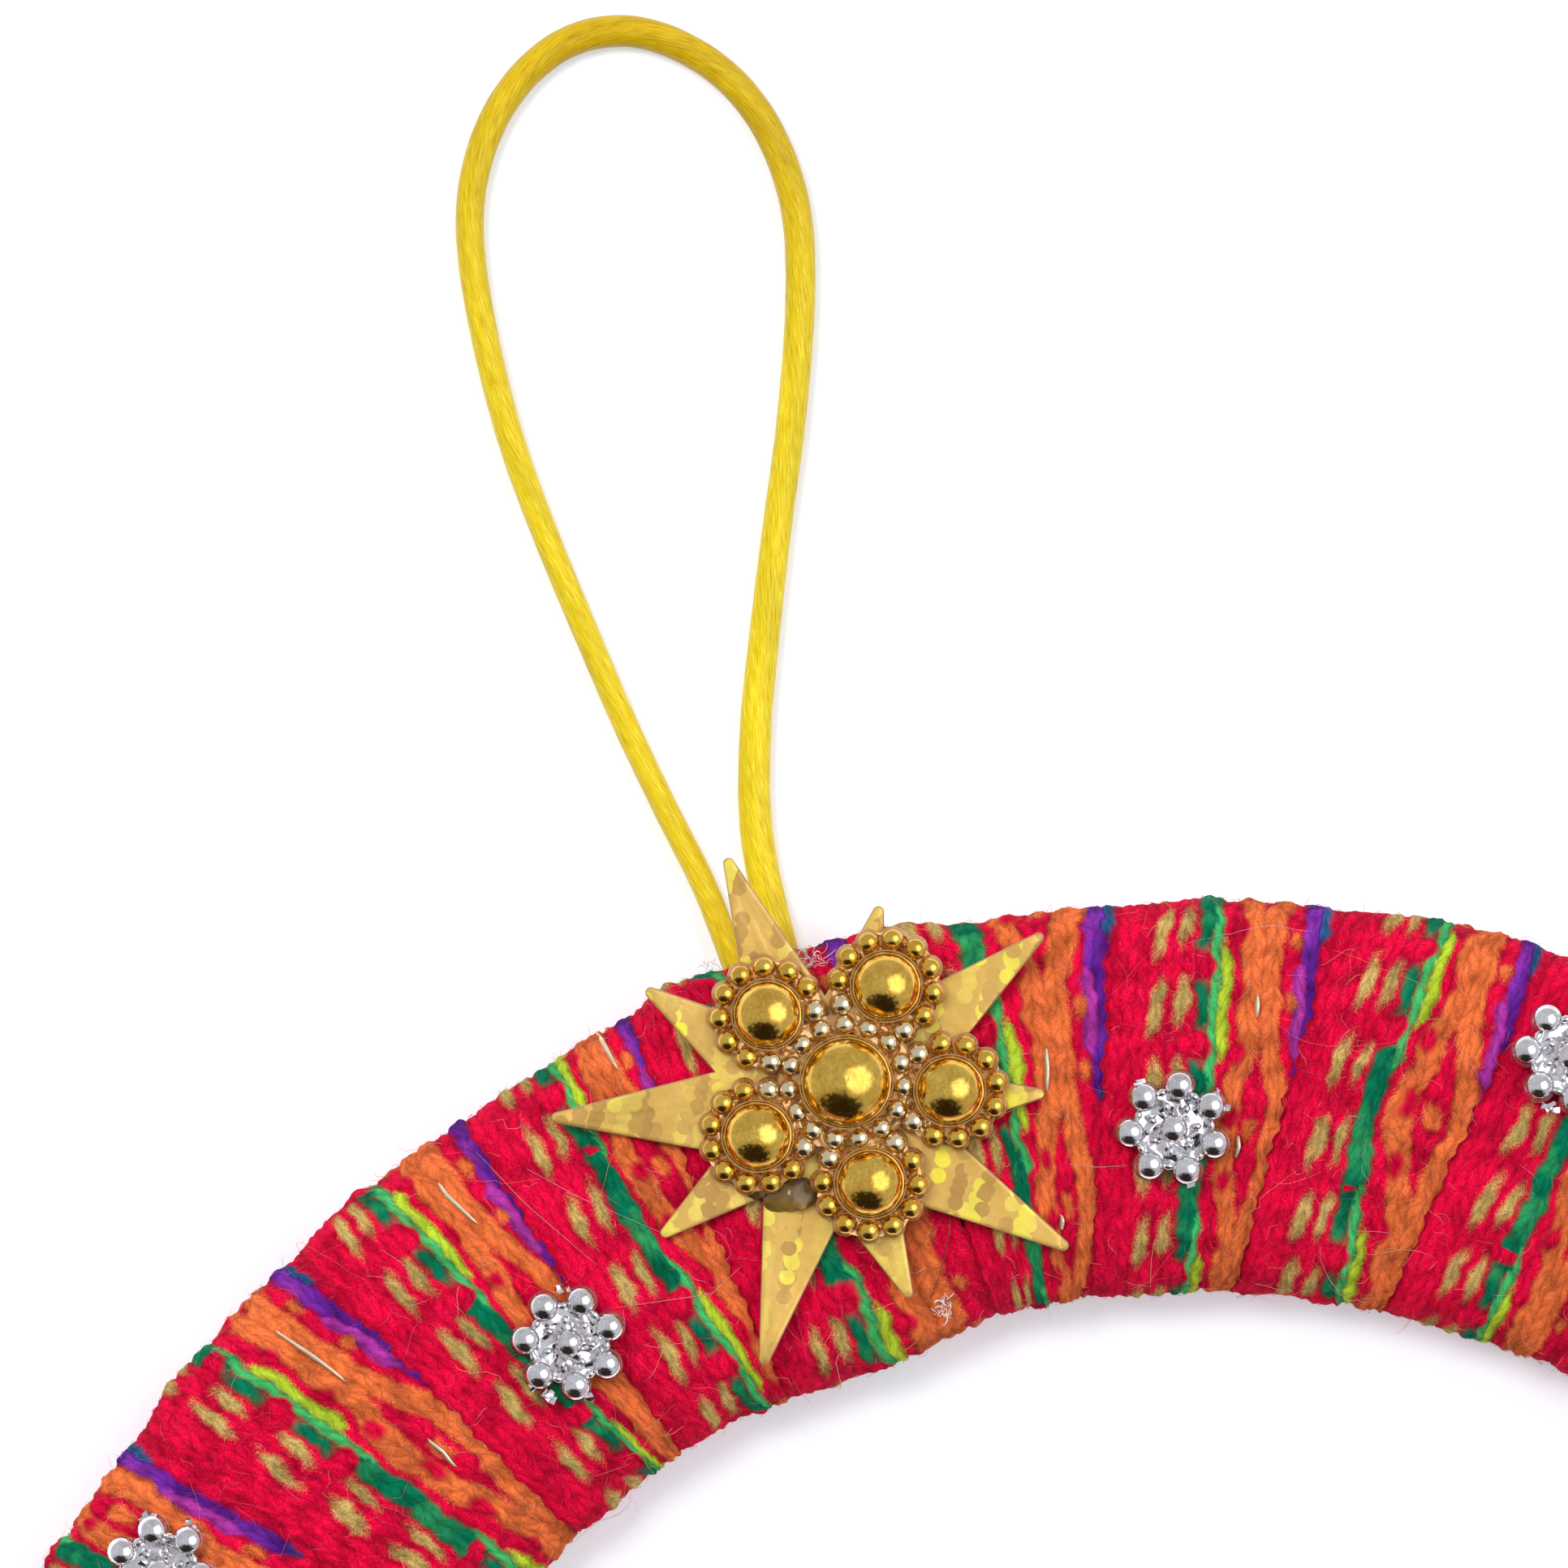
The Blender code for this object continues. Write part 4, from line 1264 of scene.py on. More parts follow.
# %% [markdown]
# Here and there a metallised thread comes up between the orange yarns for a few millimetres and goes down
# again. It is a tape of plastic film with a thin metal coat, so it flashes where it faces the light.


# %% The metallised threads
def metallised_film():
    """Slit film with a thin metal coat over matt plastic: a small, milky, pale-gold mirror."""
    look = {"Metallic": 0.55, "Roughness": 0.3}
    colours = ("#ecd08c", "#fffaec")
    return clouded("metallised_film", look, colours, size=0.667, detail=2.0, strength=0.4, depth=0.05)


THREAD_WIDTH = 0.42
THREAD_FLATNESS = 0.35
HIDDEN_THREADS = 46
SEEN_THREADS = (
    ((515, 1431), (560, 1478), (598, 1514)),
    ((341, 1640), (392, 1672), (434, 1705)),
    ((526, 1766), (546, 1784), (566, 1805)),
    ((735, 1277), (753, 1306), (770, 1335)),
    ((1286, 1286), (1288, 1316), (1287, 1348)),
    ((1303, 1492), (1305, 1500), (1306, 1513)),
    ((1523, 1394), (1522, 1410), (1519, 1427)),
    ((1547, 1225), (1548, 1240), (1546, 1257)),
)


def threads_elsewhere(draw, stops):
    """Lines along the orange chain, at random places that the photograph leaves out."""
    row, column = random_places(3000, draw, 8, CROWN_ROWS - 14)
    out_of_sight = mixed(cloth, row, column)[:, 1] < RING_CENTRE_Y + 20.0
    on_chain = nearest(yarns["orange_chain"], row, column) > 0.3
    chosen = np.flatnonzero(on_chain & out_of_sight)[:HIDDEN_THREADS]
    row, column = row[chosen], column[chosen]
    share = np.linspace(-0.5, 0.5, stops)
    length = draw.uniform(1.5, 5.5, HIDDEN_THREADS)[:, None] * share
    arch = 0.4 * np.cos(share * math.pi) ** 0.5 - 0.1
    along, out = mixed(down_strip, row, column), mixed(out_of_cloth, row, column)
    return lines_from(row, column, (along, length), (out, arch[None]))


lines = [line_on_cloth(pixels, stops=9, lift=0.5) for pixels in SEEN_THREADS]
lines = np.concatenate([lines, threads_elsewhere(np.random.default_rng(303), stops=9)])
points, faces, _ = spindles(lines, np.full(len(lines), THREAD_WIDTH), THREAD_FLATNESS)
thread_mesh = make_mesh("metallised_threads", points, faces)
make_piece("metallised_threads", thread_mesh, metallised_film(), "woven_strip")

# %% [markdown]
# ## The gold star
#
# The star is cut from gold plastic sheet with a pattern of round spots. It has ten rays, long and short in
# turn. The real one is bent a little, so each tip has its own angle and length here, as seen in the
# photograph. The outline is worked out from the rays: two straight sides and a round tip each, down to the
# notch where two rays meet.

# %% The star's outline
STAR_TIPS = (
    (-3.5, 18.2), (33.0, 14.1), (69.5, 18.7), (104.4, 14.7), (138.4, 18.8),
    (174.6, 13.9), (212.4, 17.8), (250.8, 14.1), (286.4, 18.6), (321.7, 14.6),
)
RAY_TAPERS = (0.22, 0.26)
TIP_ROUND = 0.38
STAR_SHEET = 0.3


def flat_turn(x, y, angle):
    """Flat places turned clockwise about the origin."""
    turn = math.radians(angle)
    return np.array([x * math.cos(turn) + y * math.sin(turn), y * math.cos(turn) - x * math.sin(turn)])


def crossing(start, along, other_start, other_along):
    """Where two flat lines cross."""
    share = np.linalg.solve(np.stack([along, -other_along], axis=1), other_start - start)[0]
    return start + along * share


def ray_tip(number):
    """Closely spaced places round a ray's tip, and the ways down its left and right side."""
    angle, length = STAR_TIPS[number]
    taper = RAY_TAPERS[number % 2]
    sweep = np.linspace(-1, 1, 9) * (math.pi / 2 - math.atan(taper))
    tip = flat_turn(TIP_ROUND * np.sin(sweep), length - TIP_ROUND * (1 - np.cos(sweep)), angle)
    return tip.T, flat_turn(-taper, -1, angle), flat_turn(taper, -1, angle)


def star_outline():
    """Closely spaced points round the star, clockwise."""
    outline = []
    for number in range(len(STAR_TIPS)):
        tip, _, down = ray_tip(number)
        next_tip, next_down, _ = ray_tip((number + 1) % len(STAR_TIPS))
        notch = crossing(tip[-1], down, next_tip[0], next_down)
        outline += [tip, np.linspace(tip[-1], notch, 9)[1:], np.linspace(notch, next_tip[0], 9)[1:-1]]
    return np.vstack(outline)


outline = star_outline()
longest = np.linalg.norm(outline, axis=1).max()
print(f"star: {len(outline)} points round it, {longest:.1f} mm to the longest tip")

# %% [markdown]
# Nested copies of the outline, drawn in towards the middle, make the sheet. The die pressed its cut edge
# down, which leaves a narrow slanted line all round that catches the light, so the outermost copies are
# drawn in by an even distance. A flat sheet would mirror the room in one tone. The real one has waves from
# cutting and gluing, so the points rise and fall by a few tenths of a millimetre, less where the beads hold
# it.


# %% The star's sheet
PRESSED_EDGE = 0.11


def drawn_in(distance):
    """The outline moved inwards by an even distance."""
    along = np.roll(outline, -1, axis=0) - np.roll(outline, 1, axis=0)
    return outline + unit(np.stack([along[:, 1], -along[:, 0]], axis=1)) * distance


def gold_star_mesh():
    """The waved sheet. It carries its places and its cut edge for the material."""
    flat = drawn_in(PRESSED_EDGE)
    top = [(flat * scale, STAR_SHEET) for scale in (0.2, 0.4, 0.55, 0.7, 0.85, 0.95, 1.0)]
    rim = [(drawn_in(0.03), STAR_SHEET - 0.07), (outline, STAR_SHEET - 0.12), (outline, 0.07)]
    under = [(flat * scale, 0.0) for scale in (1.0, 0.8, 0.4)]
    rings = [np.column_stack([ring, np.full(len(outline), height)]) for ring, height in top + rim + under]
    points = np.vstack([(0.0, 0.0, STAR_SHEET), *rings, (0.0, 0.0, 0.0)])
    loose = fade(np.hypot(points[:, 0], points[:, 1]), 6.0, 15.0)
    points[:, 2] += loose * (0.16 + 0.2 * ripple(points[:, 0], points[:, 1], 8.0, 41))
    seat = np.array(on_ring(STAR_RADIUS, 0.0, STAR_BOTTOM))
    mesh = make_mesh("gold_star_sheet", points + seat, closed_faces(len(rings), len(outline)))
    first_cut = 1 + len(top) * len(outline)
    place = np.arange(len(points))
    carry(mesh, "cut_edge", (place >= first_cut) & (place < first_cut + len(rim) * len(outline)))
    carry(mesh, "sheet_place", points)
    mesh.set_sharp_from_angle(angle=math.radians(50))
    return mesh


# %% [markdown]
# The sheet is gold-coloured plastic with holographic spots: round patches of fine grooves, 1 mm wide, that
# overlap like coins. Each patch lies another way, so it catches the light another way: each coin gets a
# painted reflection, a little lighter or darker than its neighbours. Four layers of round cells give the
# overlap. The cut edge has no lacquer, so it is duller.

# %% Holographic gold sheet
SPOT_SIZE = 1.05
SPOT_SHARE_OF_CELL = 0.72
COIN_PAINTED_GLINTS = ((0.0, "#bc8e44"), (0.4, "#dcb056"), (0.7, "#f4d660"), (1.0, "#fcec3c"))
COIN_LAYERS = (0.75, 0.6, 0.9, 0.7)
WAVE_SIZE = 0.83


def holographic_gold_sheet():
    """Gold lacquer over embossed plastic film: a soft metallic gloss, broken up into coins of painted pale
    and dark reflection.
    """
    look = {"Metallic": 0.3, "Roughness": 0.34, "Coat Weight": 0.25, "Coat Roughness": 0.1}
    material, node = begin_material("holographic_gold_sheet", look)
    place = node("Attribute", output="Vector", attribute_name="sheet_place")
    colour = node("RGB")
    colour.default_value = linear("#e2b458")
    for layer, randomness in enumerate(COIN_LAYERS):
        moved = node("Mapping", {"Vector": place, "Location": (0.37 * layer, 0.61 * layer, 0.0)})
        cells = {"Vector": moved, "Scale": SPOT_SHARE_OF_CELL / SPOT_SIZE, "Randomness": randomness}
        coins = node("TexVoronoi", cells, voronoi_dimensions="2D").node.outputs
        own = node("SeparateColor", {0: coins["Color"]}).node.outputs
        # Painted reflection: each coin gets its own lighter or darker gold.
        coin = node("ValToRGB", {0: own[0]}, stops=COIN_PAINTED_GLINTS)
        inside = node("MapRange", {0: coins["Distance"], 1: 0.375, 2: 0.355})
        shows = node("MapRange", {0: own[1], 1: 0.25, 2: 0.3})
        share = node("Math", {0: inside, 1: shows}, operation="MULTIPLY")
        colour = node("Mix", {0: share, 6: colour, 7: coin}, 2, data_type="RGBA")
    clouds = node("TexNoise", {"Vector": place, "Scale": 0.5, "Detail": 3.0})
    lit = node("MapRange", {0: clouds, 1: 0.3, 2: 0.7, 3: 0.9, 4: 1.08})
    colour = node("VectorMath", {0: colour, 1: lit}, operation="MULTIPLY")
    cut = node("Attribute", output="Fac", attribute_name="cut_edge")
    colour = node("Mix", {0: cut, 6: colour, 7: linear("#a88660")}, 2, data_type="RGBA")
    waves = node("TexNoise", {"Vector": place, "Scale": 1 / WAVE_SIZE, "Detail": 4.0})
    return finished(material, colour, waves, strength=0.25, depth=0.2)


make_piece("gold_star_sheet", gold_star_mesh(), holographic_gold_sheet(), "gold_sheet", "gold_star")

# %% [markdown]
# ## Moulded beads
#
# The gold cluster and the silver flowers are one-piece plastic mouldings, plated to look like metal. All
# their forms are turned: domes, beads, collars and rims. So one function turns a profile round its axis
# into a closed form, another sets a form in its place, and a third joins the forms of a moulding. A bead
# from a mould isn't a ball: it must come out of the steel, so its cap is shallower and its side is
# straight. That is why such a bead mirrors the room almost up to its outline.


# %% Turned forms
CAP_STEEPEST = 54
CAP_SHOULDER = 0.2


def turned(profile, around):
    """Points and triangles of a closed form turned from a profile that starts and ends on its axis."""
    profile = np.array(profile, float)
    turn = np.linspace(0, math.tau, around, endpoint=False)
    radius, height = profile[1:-1, 0, None], profile[1:-1, 1, None]
    rings = np.stack(np.broadcast_arrays(radius * np.sin(turn), radius * np.cos(turn), height), axis=-1)
    points = np.vstack([(0.0, 0.0, profile[0, 1]), rings.reshape(-1, 3), (0.0, 0.0, profile[-1, 1])])
    return points, closed_faces(len(profile) - 2, around)


def cap_profile(radius, top, bottom, stops):
    """A moulded bead's profile: a shallow cap, a rounded shoulder and a straight side down to its foot."""
    steepest = math.radians(CAP_STEEPEST)
    shoulder = CAP_SHOULDER * radius
    cap = (radius - shoulder * (1 - math.sin(steepest))) / math.sin(steepest)
    turn = np.linspace(0, steepest, stops)
    over = np.stack([cap * np.sin(turn), top - cap * (1 - np.cos(turn))], axis=1)
    turn = np.linspace(steepest, math.pi / 2, 4)[1:]
    height = over[-1, 1] + shoulder * (np.cos(turn) - math.cos(steepest))
    side = np.stack([radius - shoulder * (1 - np.sin(turn)), height], axis=1)
    return np.vstack([over, side, (radius, bottom + 0.1 * radius), (0.9 * radius, bottom), (0.0, bottom)])


def collar_profile(radius, height, thick):
    """A thin round plate with a rounded rim, from its top to its bottom."""
    half = thick / 2
    turn = np.linspace(0, math.pi, 5)
    rim = np.stack([radius - half + half * np.sin(turn), height - half + half * np.cos(turn)], axis=1)
    return np.vstack([(0.0, height), rim, (0.0, height - thick)])


def placed(form, x, y, z=0.0, turn=0.0, stretch=(1.0, 1.0, 1.0)):
    """The form stretched, turned clockwise and set down at this place."""
    points, faces = form
    points = points * stretch
    flat = flat_turn(points[:, 0], points[:, 1], turn)
    return np.stack([flat[0] + x, flat[1] + y, points[:, 2] + z], axis=1), faces


def joined(forms):
    """All points and triangles of these forms."""
    starts = np.cumsum([0] + [len(points) for points, _ in forms[:-1]])
    faces = [own + start for (_, own), start in zip(forms, starts)]
    return np.vstack([points for points, _ in forms]), np.vstack(faces)


def hoop(radius, tube, height, around, stops):
    """A round hoop of this tube radius, lying at this height."""
    turn = np.linspace(0, math.tau, around, endpoint=False)[:, None]
    bend = np.linspace(0, math.tau, stops, endpoint=False)
    out = radius + tube * np.cos(bend)
    rise = height + tube * np.sin(bend) + 0 * turn
    points = np.stack([out * np.sin(turn), out * np.cos(turn), rise], axis=-1).reshape(-1, 3)
    step, place = np.meshgrid(np.arange(around), np.arange(stops), indexing="ij")
    next_step, above = (step + 1) % around, (place + 1) % stops
    corners = [ring * stops + spot for ring in (step, next_step) for spot in (place, above)]
    first = np.stack([corners[3], corners[2], corners[0]], axis=-1).reshape(-1, 3)
    second = np.stack([corners[1], corners[3], corners[0]], axis=-1).reshape(-1, 3)
    return points, np.vstack([first, second])


# %% [markdown]
# ## The gold cluster
#
# A large dome stands in the middle of fifteen beads, with five smaller domes round it. Each small dome has
# ten beads of its own, and closes its ring with three of the middle ring's beads. Every bead stands in two
# thin collars, which gives the double outline that the photograph shows, and two narrow hoops run round
# each dome. The web between the beads is uneven, so it glints: a plate whose rings of points rise and fall
# at random.

# %% The cluster's sizes
CLUSTER_ASIDE = 1.8
CLUSTER_UP = 1.3
CLUSTER_TURN = 41.0
CLUSTER_BOTTOM = STAR_BOTTOM + STAR_SHEET + TOUCH_GAP
CLUSTER_SKIRT = 0.9
ROSETTES = 5
ROSETTE_SPREAD = 7.0
ROSETTE_DOME = (2.12, 2.05)
ROSETTE_RIM_RADIUS = 3.2
ROSETTE_BEAD_RADIUS = 0.68
CENTRE_DOME = (2.85, 2.75)
CENTRE_RIM_RADIUS = 3.9
CENTRE_BEAD_RADIUS = 0.62
CENTRE_BEADS = 15
COLLAR = 0.11


def dome(radius, height, around):
    """A dome on its low plinth, with two narrow hoops round its foot."""
    form = turned(cap_profile(radius, top=CLUSTER_SKIRT + height, bottom=0.1, stops=13), around)
    inner_hoop = hoop(radius + 0.1, tube=0.12, height=CLUSTER_SKIRT - 0.05, around=around, stops=7)
    outer_hoop = hoop(radius + 0.3, tube=0.1, height=CLUSTER_SKIRT - 0.25, around=around, stops=6)
    return [form, inner_hoop, outer_hoop]


def collared_bead(radius, x, y):
    """A small bead in its two collars."""
    ball = turned(cap_profile(radius, top=CLUSTER_SKIRT + radius, bottom=0.15, stops=6), around=16)
    collar = turned(collar_profile(radius + COLLAR, CLUSTER_SKIRT - 0.2, thick=0.3), around=16)
    lower = turned(collar_profile(radius + 2 * COLLAR, CLUSTER_SKIRT - 0.5, thick=0.3), around=16)
    return [placed(form, x, y) for form in (ball, collar, lower)]


def uneven_plate(reaches, draw, height, rough, around):
    """A closed plate with rings of points at these distances, whose top rises and falls at random."""
    points = [np.array([[0.0, 0.0, height]])]
    turn = np.linspace(0, math.tau, around, endpoint=False)
    for reach in reaches:
        out = reach + draw.uniform(-0.08, 0.08, around)
        heading = turn + draw.uniform(-0.07, 0.07, around) / max(reach, 1.0)
        rise = height + draw.uniform(-rough, rough, around)
        points.append(np.stack([out * np.sin(heading), out * np.cos(heading), rise], axis=1))
    points.append(points[-1] * (1.0, 1.0, 0.0) + (0.0, 0.0, 0.15))
    points.append(np.array([[0.0, 0.0, 0.15]]))
    return np.vstack(points), closed_faces(len(points) - 2, around)


def press_swirl(points):
    """Presses the faint swirl that the mould's gate left on top of the middle dome."""
    reach = np.hypot(points[:, 0], points[:, 1])
    heading = np.arctan2(points[:, 0], points[:, 1])
    spiral = np.abs(from_nearest(heading - 2.2 * reach, math.tau)) / math.pi
    points[:, 2] -= 0.09 * fade(reach, 1.25, 0.5) * (1 - spiral) * fade(reach, 0.05, 0.3)


def gold_cluster_forms():
    """The forms of the cluster, and for each of their points how worn the plating is."""
    draw = np.random.default_rng(8)
    centre = dome(*CENTRE_DOME, around=60)
    press_swirl(centre[0][0])
    web = uneven_plate((3.2, 3.45, 3.7, 3.95, 4.2, 4.45, 4.7), draw, height=0.62, rough=0.22, around=66)
    polished = [*centre, web]
    worn = []
    for number in range(CENTRE_BEADS):
        angle = CLUSTER_TURN + 360 * number / CENTRE_BEADS
        worn += collared_bead(CENTRE_BEAD_RADIUS, *flat_turn(0.0, CENTRE_RIM_RADIUS, angle))
    for number in range(ROSETTES):
        angle = CLUSTER_TURN + 360 * number / ROSETTES
        x, y = flat_turn(0.0, ROSETTE_SPREAD, angle)
        web = uneven_plate((2.4, 2.65, 2.9, 3.15, 3.4, 3.65), draw, height=0.56, rough=0.2, around=54)
        polished += [placed(form, x, y) for form in [*dome(*ROSETTE_DOME, around=48), web]]
        for bead in range(10):
            lean = -135 + 30 * bead
            across, out = flat_turn(0.0, ROSETTE_RIM_RADIUS, angle + lean)
            into = worn if abs(lean) > 120 else polished
            into.extend(collared_bead(ROSETTE_BEAD_RADIUS, x + across, y + out))
    wear = np.repeat([0.0, 1.0], [sum(len(points) for points, _ in forms) for forms in (polished, worn)])
    return joined(polished + worn), wear


# %% [markdown]
# The mouldings are ABS, plated in a vacuum and lacquered in gold. That gives the eye a mirror with a warm
# tint, and a second, white reflection on the thick lacquer, which is why its highlights look pale. The thin
# metal has tiny pits and a faint orange peel. Low down round the feet of the beads the colour is a browner,
# duller gold and the mirror is weaker: partly the thick lacquer there, partly painted shade where the beads
# crowd. Where the beads are crowded, less lacquer reached them, so they look more like silver.


# %% Vacuum-plated gold
def vacuum_plated_gold():
    """Lacquered aluminium film on moulded plastic: a warm mirror with small pits."""
    look = {"Roughness": 0.15, "Coat Weight": 0.5, "Coat Roughness": 0.08, "Coat IOR": 1.7}
    material, node = begin_material("vacuum_plated_gold", look)
    cloud_size = 1.111
    pit_size = 0.263
    place = node("NewGeometry", output="Position")
    cloud = node("TexNoise", {"Vector": place, "Scale": 1 / (cloud_size * MM), "Detail": 4.0})
    deep = node("MapRange", {0: cloud, 1: 0.35, 2: 0.7})
    gold = {0: deep, 6: linear("#e6b038"), 7: linear("#f8cc54")}
    gold = node("Mix", gold, 2, data_type="RGBA")
    wear = node("Attribute", output="Fac", attribute_name="worn_plating")
    silvery = node("Math", {0: wear, 1: 0.7}, operation="MULTIPLY")
    gold = node("Mix", {0: silvery, 6: gold, 7: linear("#fbf0d8")}, 2, data_type="RGBA")
    # Painted shade, with the thick lacquer's browner gold: low places round the beads' feet are darker and
    # less of a mirror.
    lacquer_and_shade = node("Attribute", output="Fac", attribute_name="lacquer_and_painted_shade")
    gold = node("Mix", {0: lacquer_and_shade, 6: gold, 7: linear("#d09a5c")}, 2, data_type="RGBA")
    plated = node("MapRange", {0: lacquer_and_shade, 3: 1.0, 4: 0.76})
    tree = material.node_tree
    tree.links.new(plated, tree.nodes["Principled BSDF"].inputs["Metallic"])
    pits = node("TexNoise", {"Vector": place, "Scale": 1 / (pit_size * MM), "Detail": 3.0})
    pits = node("MapRange", {0: pits, 1: 0.62, 2: 0.72})
    peel = node("Math", {0: cloud, 1: pits}, operation="SUBTRACT")
    return finished(material, gold, peel, strength=0.2, depth=0.04)


def gold_cluster_piece():
    """The cluster on the star. It carries where its plating is worn, and how low down each point is, for the
    lacquer and the painted shade there.
    """
    (points, faces), wear = gold_cluster_forms()
    seat = on_ring(STAR_RADIUS, 0.0, CLUSTER_BOTTOM) + Vector((CLUSTER_ASIDE, CLUSTER_UP, 0.0))
    mesh = make_mesh("gold_bead_cluster", points + np.array(seat), faces)
    carry(mesh, "worn_plating", wear)
    # By height: the lower a point, the more lacquer and painted shade it gets.
    carry(mesh, "lacquer_and_painted_shade", fade(points[:, 2], CLUSTER_SKIRT + 0.15, CLUSTER_SKIRT - 0.25))
    mesh.set_sharp_from_angle(angle=math.radians(55))
    make_piece(mesh.name, mesh, vacuum_plated_gold(), "gold_beads", "bead_cluster")


gold_cluster_piece()

# %% [markdown]
# ## The silver flowers
#
# Each flower is seven beads round one. The plating doesn't reach the foot of a bead, which is left as a
# clear collar, so the collars are faces of their own material in the same mesh. Between the beads the
# plated skin is crumpled into small facets, which flash bright and dark. Flowers are broken off a sprue by
# hand, so each keeps a few tiny chips of it. They sit in two rows, turn about, tilted as the ring's crown
# is under them.

# %% The flowers' sizes and places
FLOWER_BEADS = 7
FLOWER_BEAD_RADIUS = 0.95
FLOWER_RIM_RADIUS = 2.93
CLEAR_COLLAR = 1.12
FLOWER_SKIRT = 0.7
INNER_ROW = -2.7
OUTER_ROW = 6.9
FLOWER_BESIDE_STAR = 17.3
SECOND_FLOWER_RIGHT = 36.4
SECOND_FLOWER_LEFT = 39.9
FLOWERS_ROUND = 15
FLOWER_TURNS = {1: 1.0, 2: 8.6}
FLOWER_SLIPS = {2: 0.9}


def flower_places():
    """(angle, row) of each flower: two beside the star, then the others round the rest of the ring."""
    places = [(-FLOWER_BESIDE_STAR, INNER_ROW), (FLOWER_BESIDE_STAR, INNER_ROW)]
    step = (360 - SECOND_FLOWER_RIGHT - SECOND_FLOWER_LEFT) / (FLOWERS_ROUND - 1)
    for number in range(FLOWERS_ROUND):
        row = OUTER_ROW if number % 2 == 0 else INNER_ROW
        places.append((SECOND_FLOWER_RIGHT + step * number, row))
    return places


def chip(draw):
    """A splinter of the sprue: a small crooked block."""
    size = draw.uniform((0.2, 0.35, 0.16), (0.34, 0.6, 0.3)) / 2
    corners = np.array([(x, y, z) for x in (-1, 1) for y in (-1, 1) for z in (-1, 1)]) * size
    corners += draw.normal(0, 0.06, corners.shape)
    faces = [(0, 1, 3), (0, 3, 2), (4, 6, 7), (4, 7, 5), (0, 4, 5), (0, 5, 1)]
    faces += [(2, 3, 7), (2, 7, 6), (0, 2, 6), (0, 6, 4), (1, 5, 7), (1, 7, 3)]
    return corners, np.array(faces)


def flower_forms(first_angle, draw):
    """The plated forms of one flower and its clear collars, with its back at z = 0."""
    ball = turned(cap_profile(FLOWER_BEAD_RADIUS, top=FLOWER_SKIRT + 1.05, bottom=0.3, stops=7), around=18)
    collar = turned(collar_profile(CLEAR_COLLAR, height=0.55, thick=0.25), around=20)
    web = turned(cap_profile(0.3, top=1.05, bottom=0.4, stops=3), around=6)
    skin = uneven_plate((0.7, 1.1, 1.4, 1.7, 2.0, 2.3, 2.55), draw, height=0.6, rough=0.16, around=28)
    plated = [ball, skin]
    clear = []
    for number in range(FLOWER_BEADS):
        angle = first_angle + 360 * number / FLOWER_BEADS
        plated.append(placed(ball, *flat_turn(0.0, FLOWER_RIM_RADIUS, angle)))
        clear.append(placed(collar, *flat_turn(0.0, FLOWER_RIM_RADIUS, angle)))
        half_way = angle + 180 / FLOWER_BEADS
        plated.append(placed(web, *flat_turn(0.0, 1.55, half_way), turn=half_way, stretch=(0.9, 1.2, 0.95)))
        plated.append(placed(web, *flat_turn(0.0, 2.55, half_way), turn=half_way, stretch=(1.5, 0.9, 0.95)))
    for _ in range(draw.integers(3, 6)):
        angle = first_angle + 180 / FLOWER_BEADS * draw.integers(0, 14) + draw.uniform(-8, 8)
        for splinter in (chip(draw), chip(draw), chip(draw)):
            reach = FLOWER_RIM_RADIUS + draw.uniform(0.75, 1.1)
            x, y = flat_turn(0.0, reach, angle + draw.uniform(-6, 6))
            plated.append(placed(splinter, x, y, draw.uniform(0.7, 1.3), draw.uniform(0, 90)))
    return joined(plated), joined(clear)


# %% [markdown]
# The flowers' plating is bare aluminium film without lacquer, so it is a neutral mirror, a little duller
# and warmer where it is thin. The collars are the plastic itself.


# %% Vacuum-plated silver
def vacuum_plated_silver():
    """Aluminium film on moulded plastic: a bright neutral mirror, slightly uneven."""
    look = {"Metallic": 1.0, "Roughness": 0.11}
    clouds = {"size": 0.909, "detail": 4.0, "contrast": (0.4, 0.75)}
    return clouded("vacuum_plated_silver", look, ("#f6f4f8", "#d2c8c6"), strength=0.25, depth=0.04, **clouds)


def clear_moulded_plastic():
    """Unplated polystyrene: clear, glossy and slightly wavy from the mould."""
    look = {"Transmission Weight": 1.0, "IOR": 1.49, "Roughness": 0.04}
    colours = ("#fbf7f4", "#f3ebe6")
    return clouded("clear_moulded_plastic", look, colours, size=1.111, detail=2.0, strength=0.2, depth=0.05)


def silver_flower_piece(number, angle, row, draw):
    """One flower on the cloth, tilted as the crown under it."""
    plated, clear = flower_forms(FLOWER_TURNS.get(number, draw.uniform(0, 360 / FLOWER_BEADS)), draw)
    points, faces = joined([plated, clear])
    tilt = crown_slope(row)
    level = points[:, 1] * math.cos(tilt) + points[:, 2] * math.sin(tilt)
    rise = points[:, 2] * math.cos(tilt) - points[:, 1] * math.sin(tilt)
    x, y = flat_turn(points[:, 0], level, angle)
    row += FLOWER_SLIPS.get(number, 0.0)
    seat = on_ring(MIDDLE_RADIUS + row, angle, crown_height(row) + WINDING_RELIEF + TOUCH_GAP)
    points = np.stack([x, y, rise], axis=1) + np.array(seat)
    mesh = make_mesh(f"silver_bead_flower_{number:02d}", points, faces)
    mesh.set_sharp_from_angle(angle=math.radians(35))
    make_piece(mesh.name, mesh, silver, "silver_beads", f"silver_flower_{number:02d}")
    mesh.materials.append(clear_plastic)
    is_clear = np.arange(len(faces)) >= len(plated[1])
    mesh.polygons.foreach_set("material_index", is_clear.astype(np.int32))


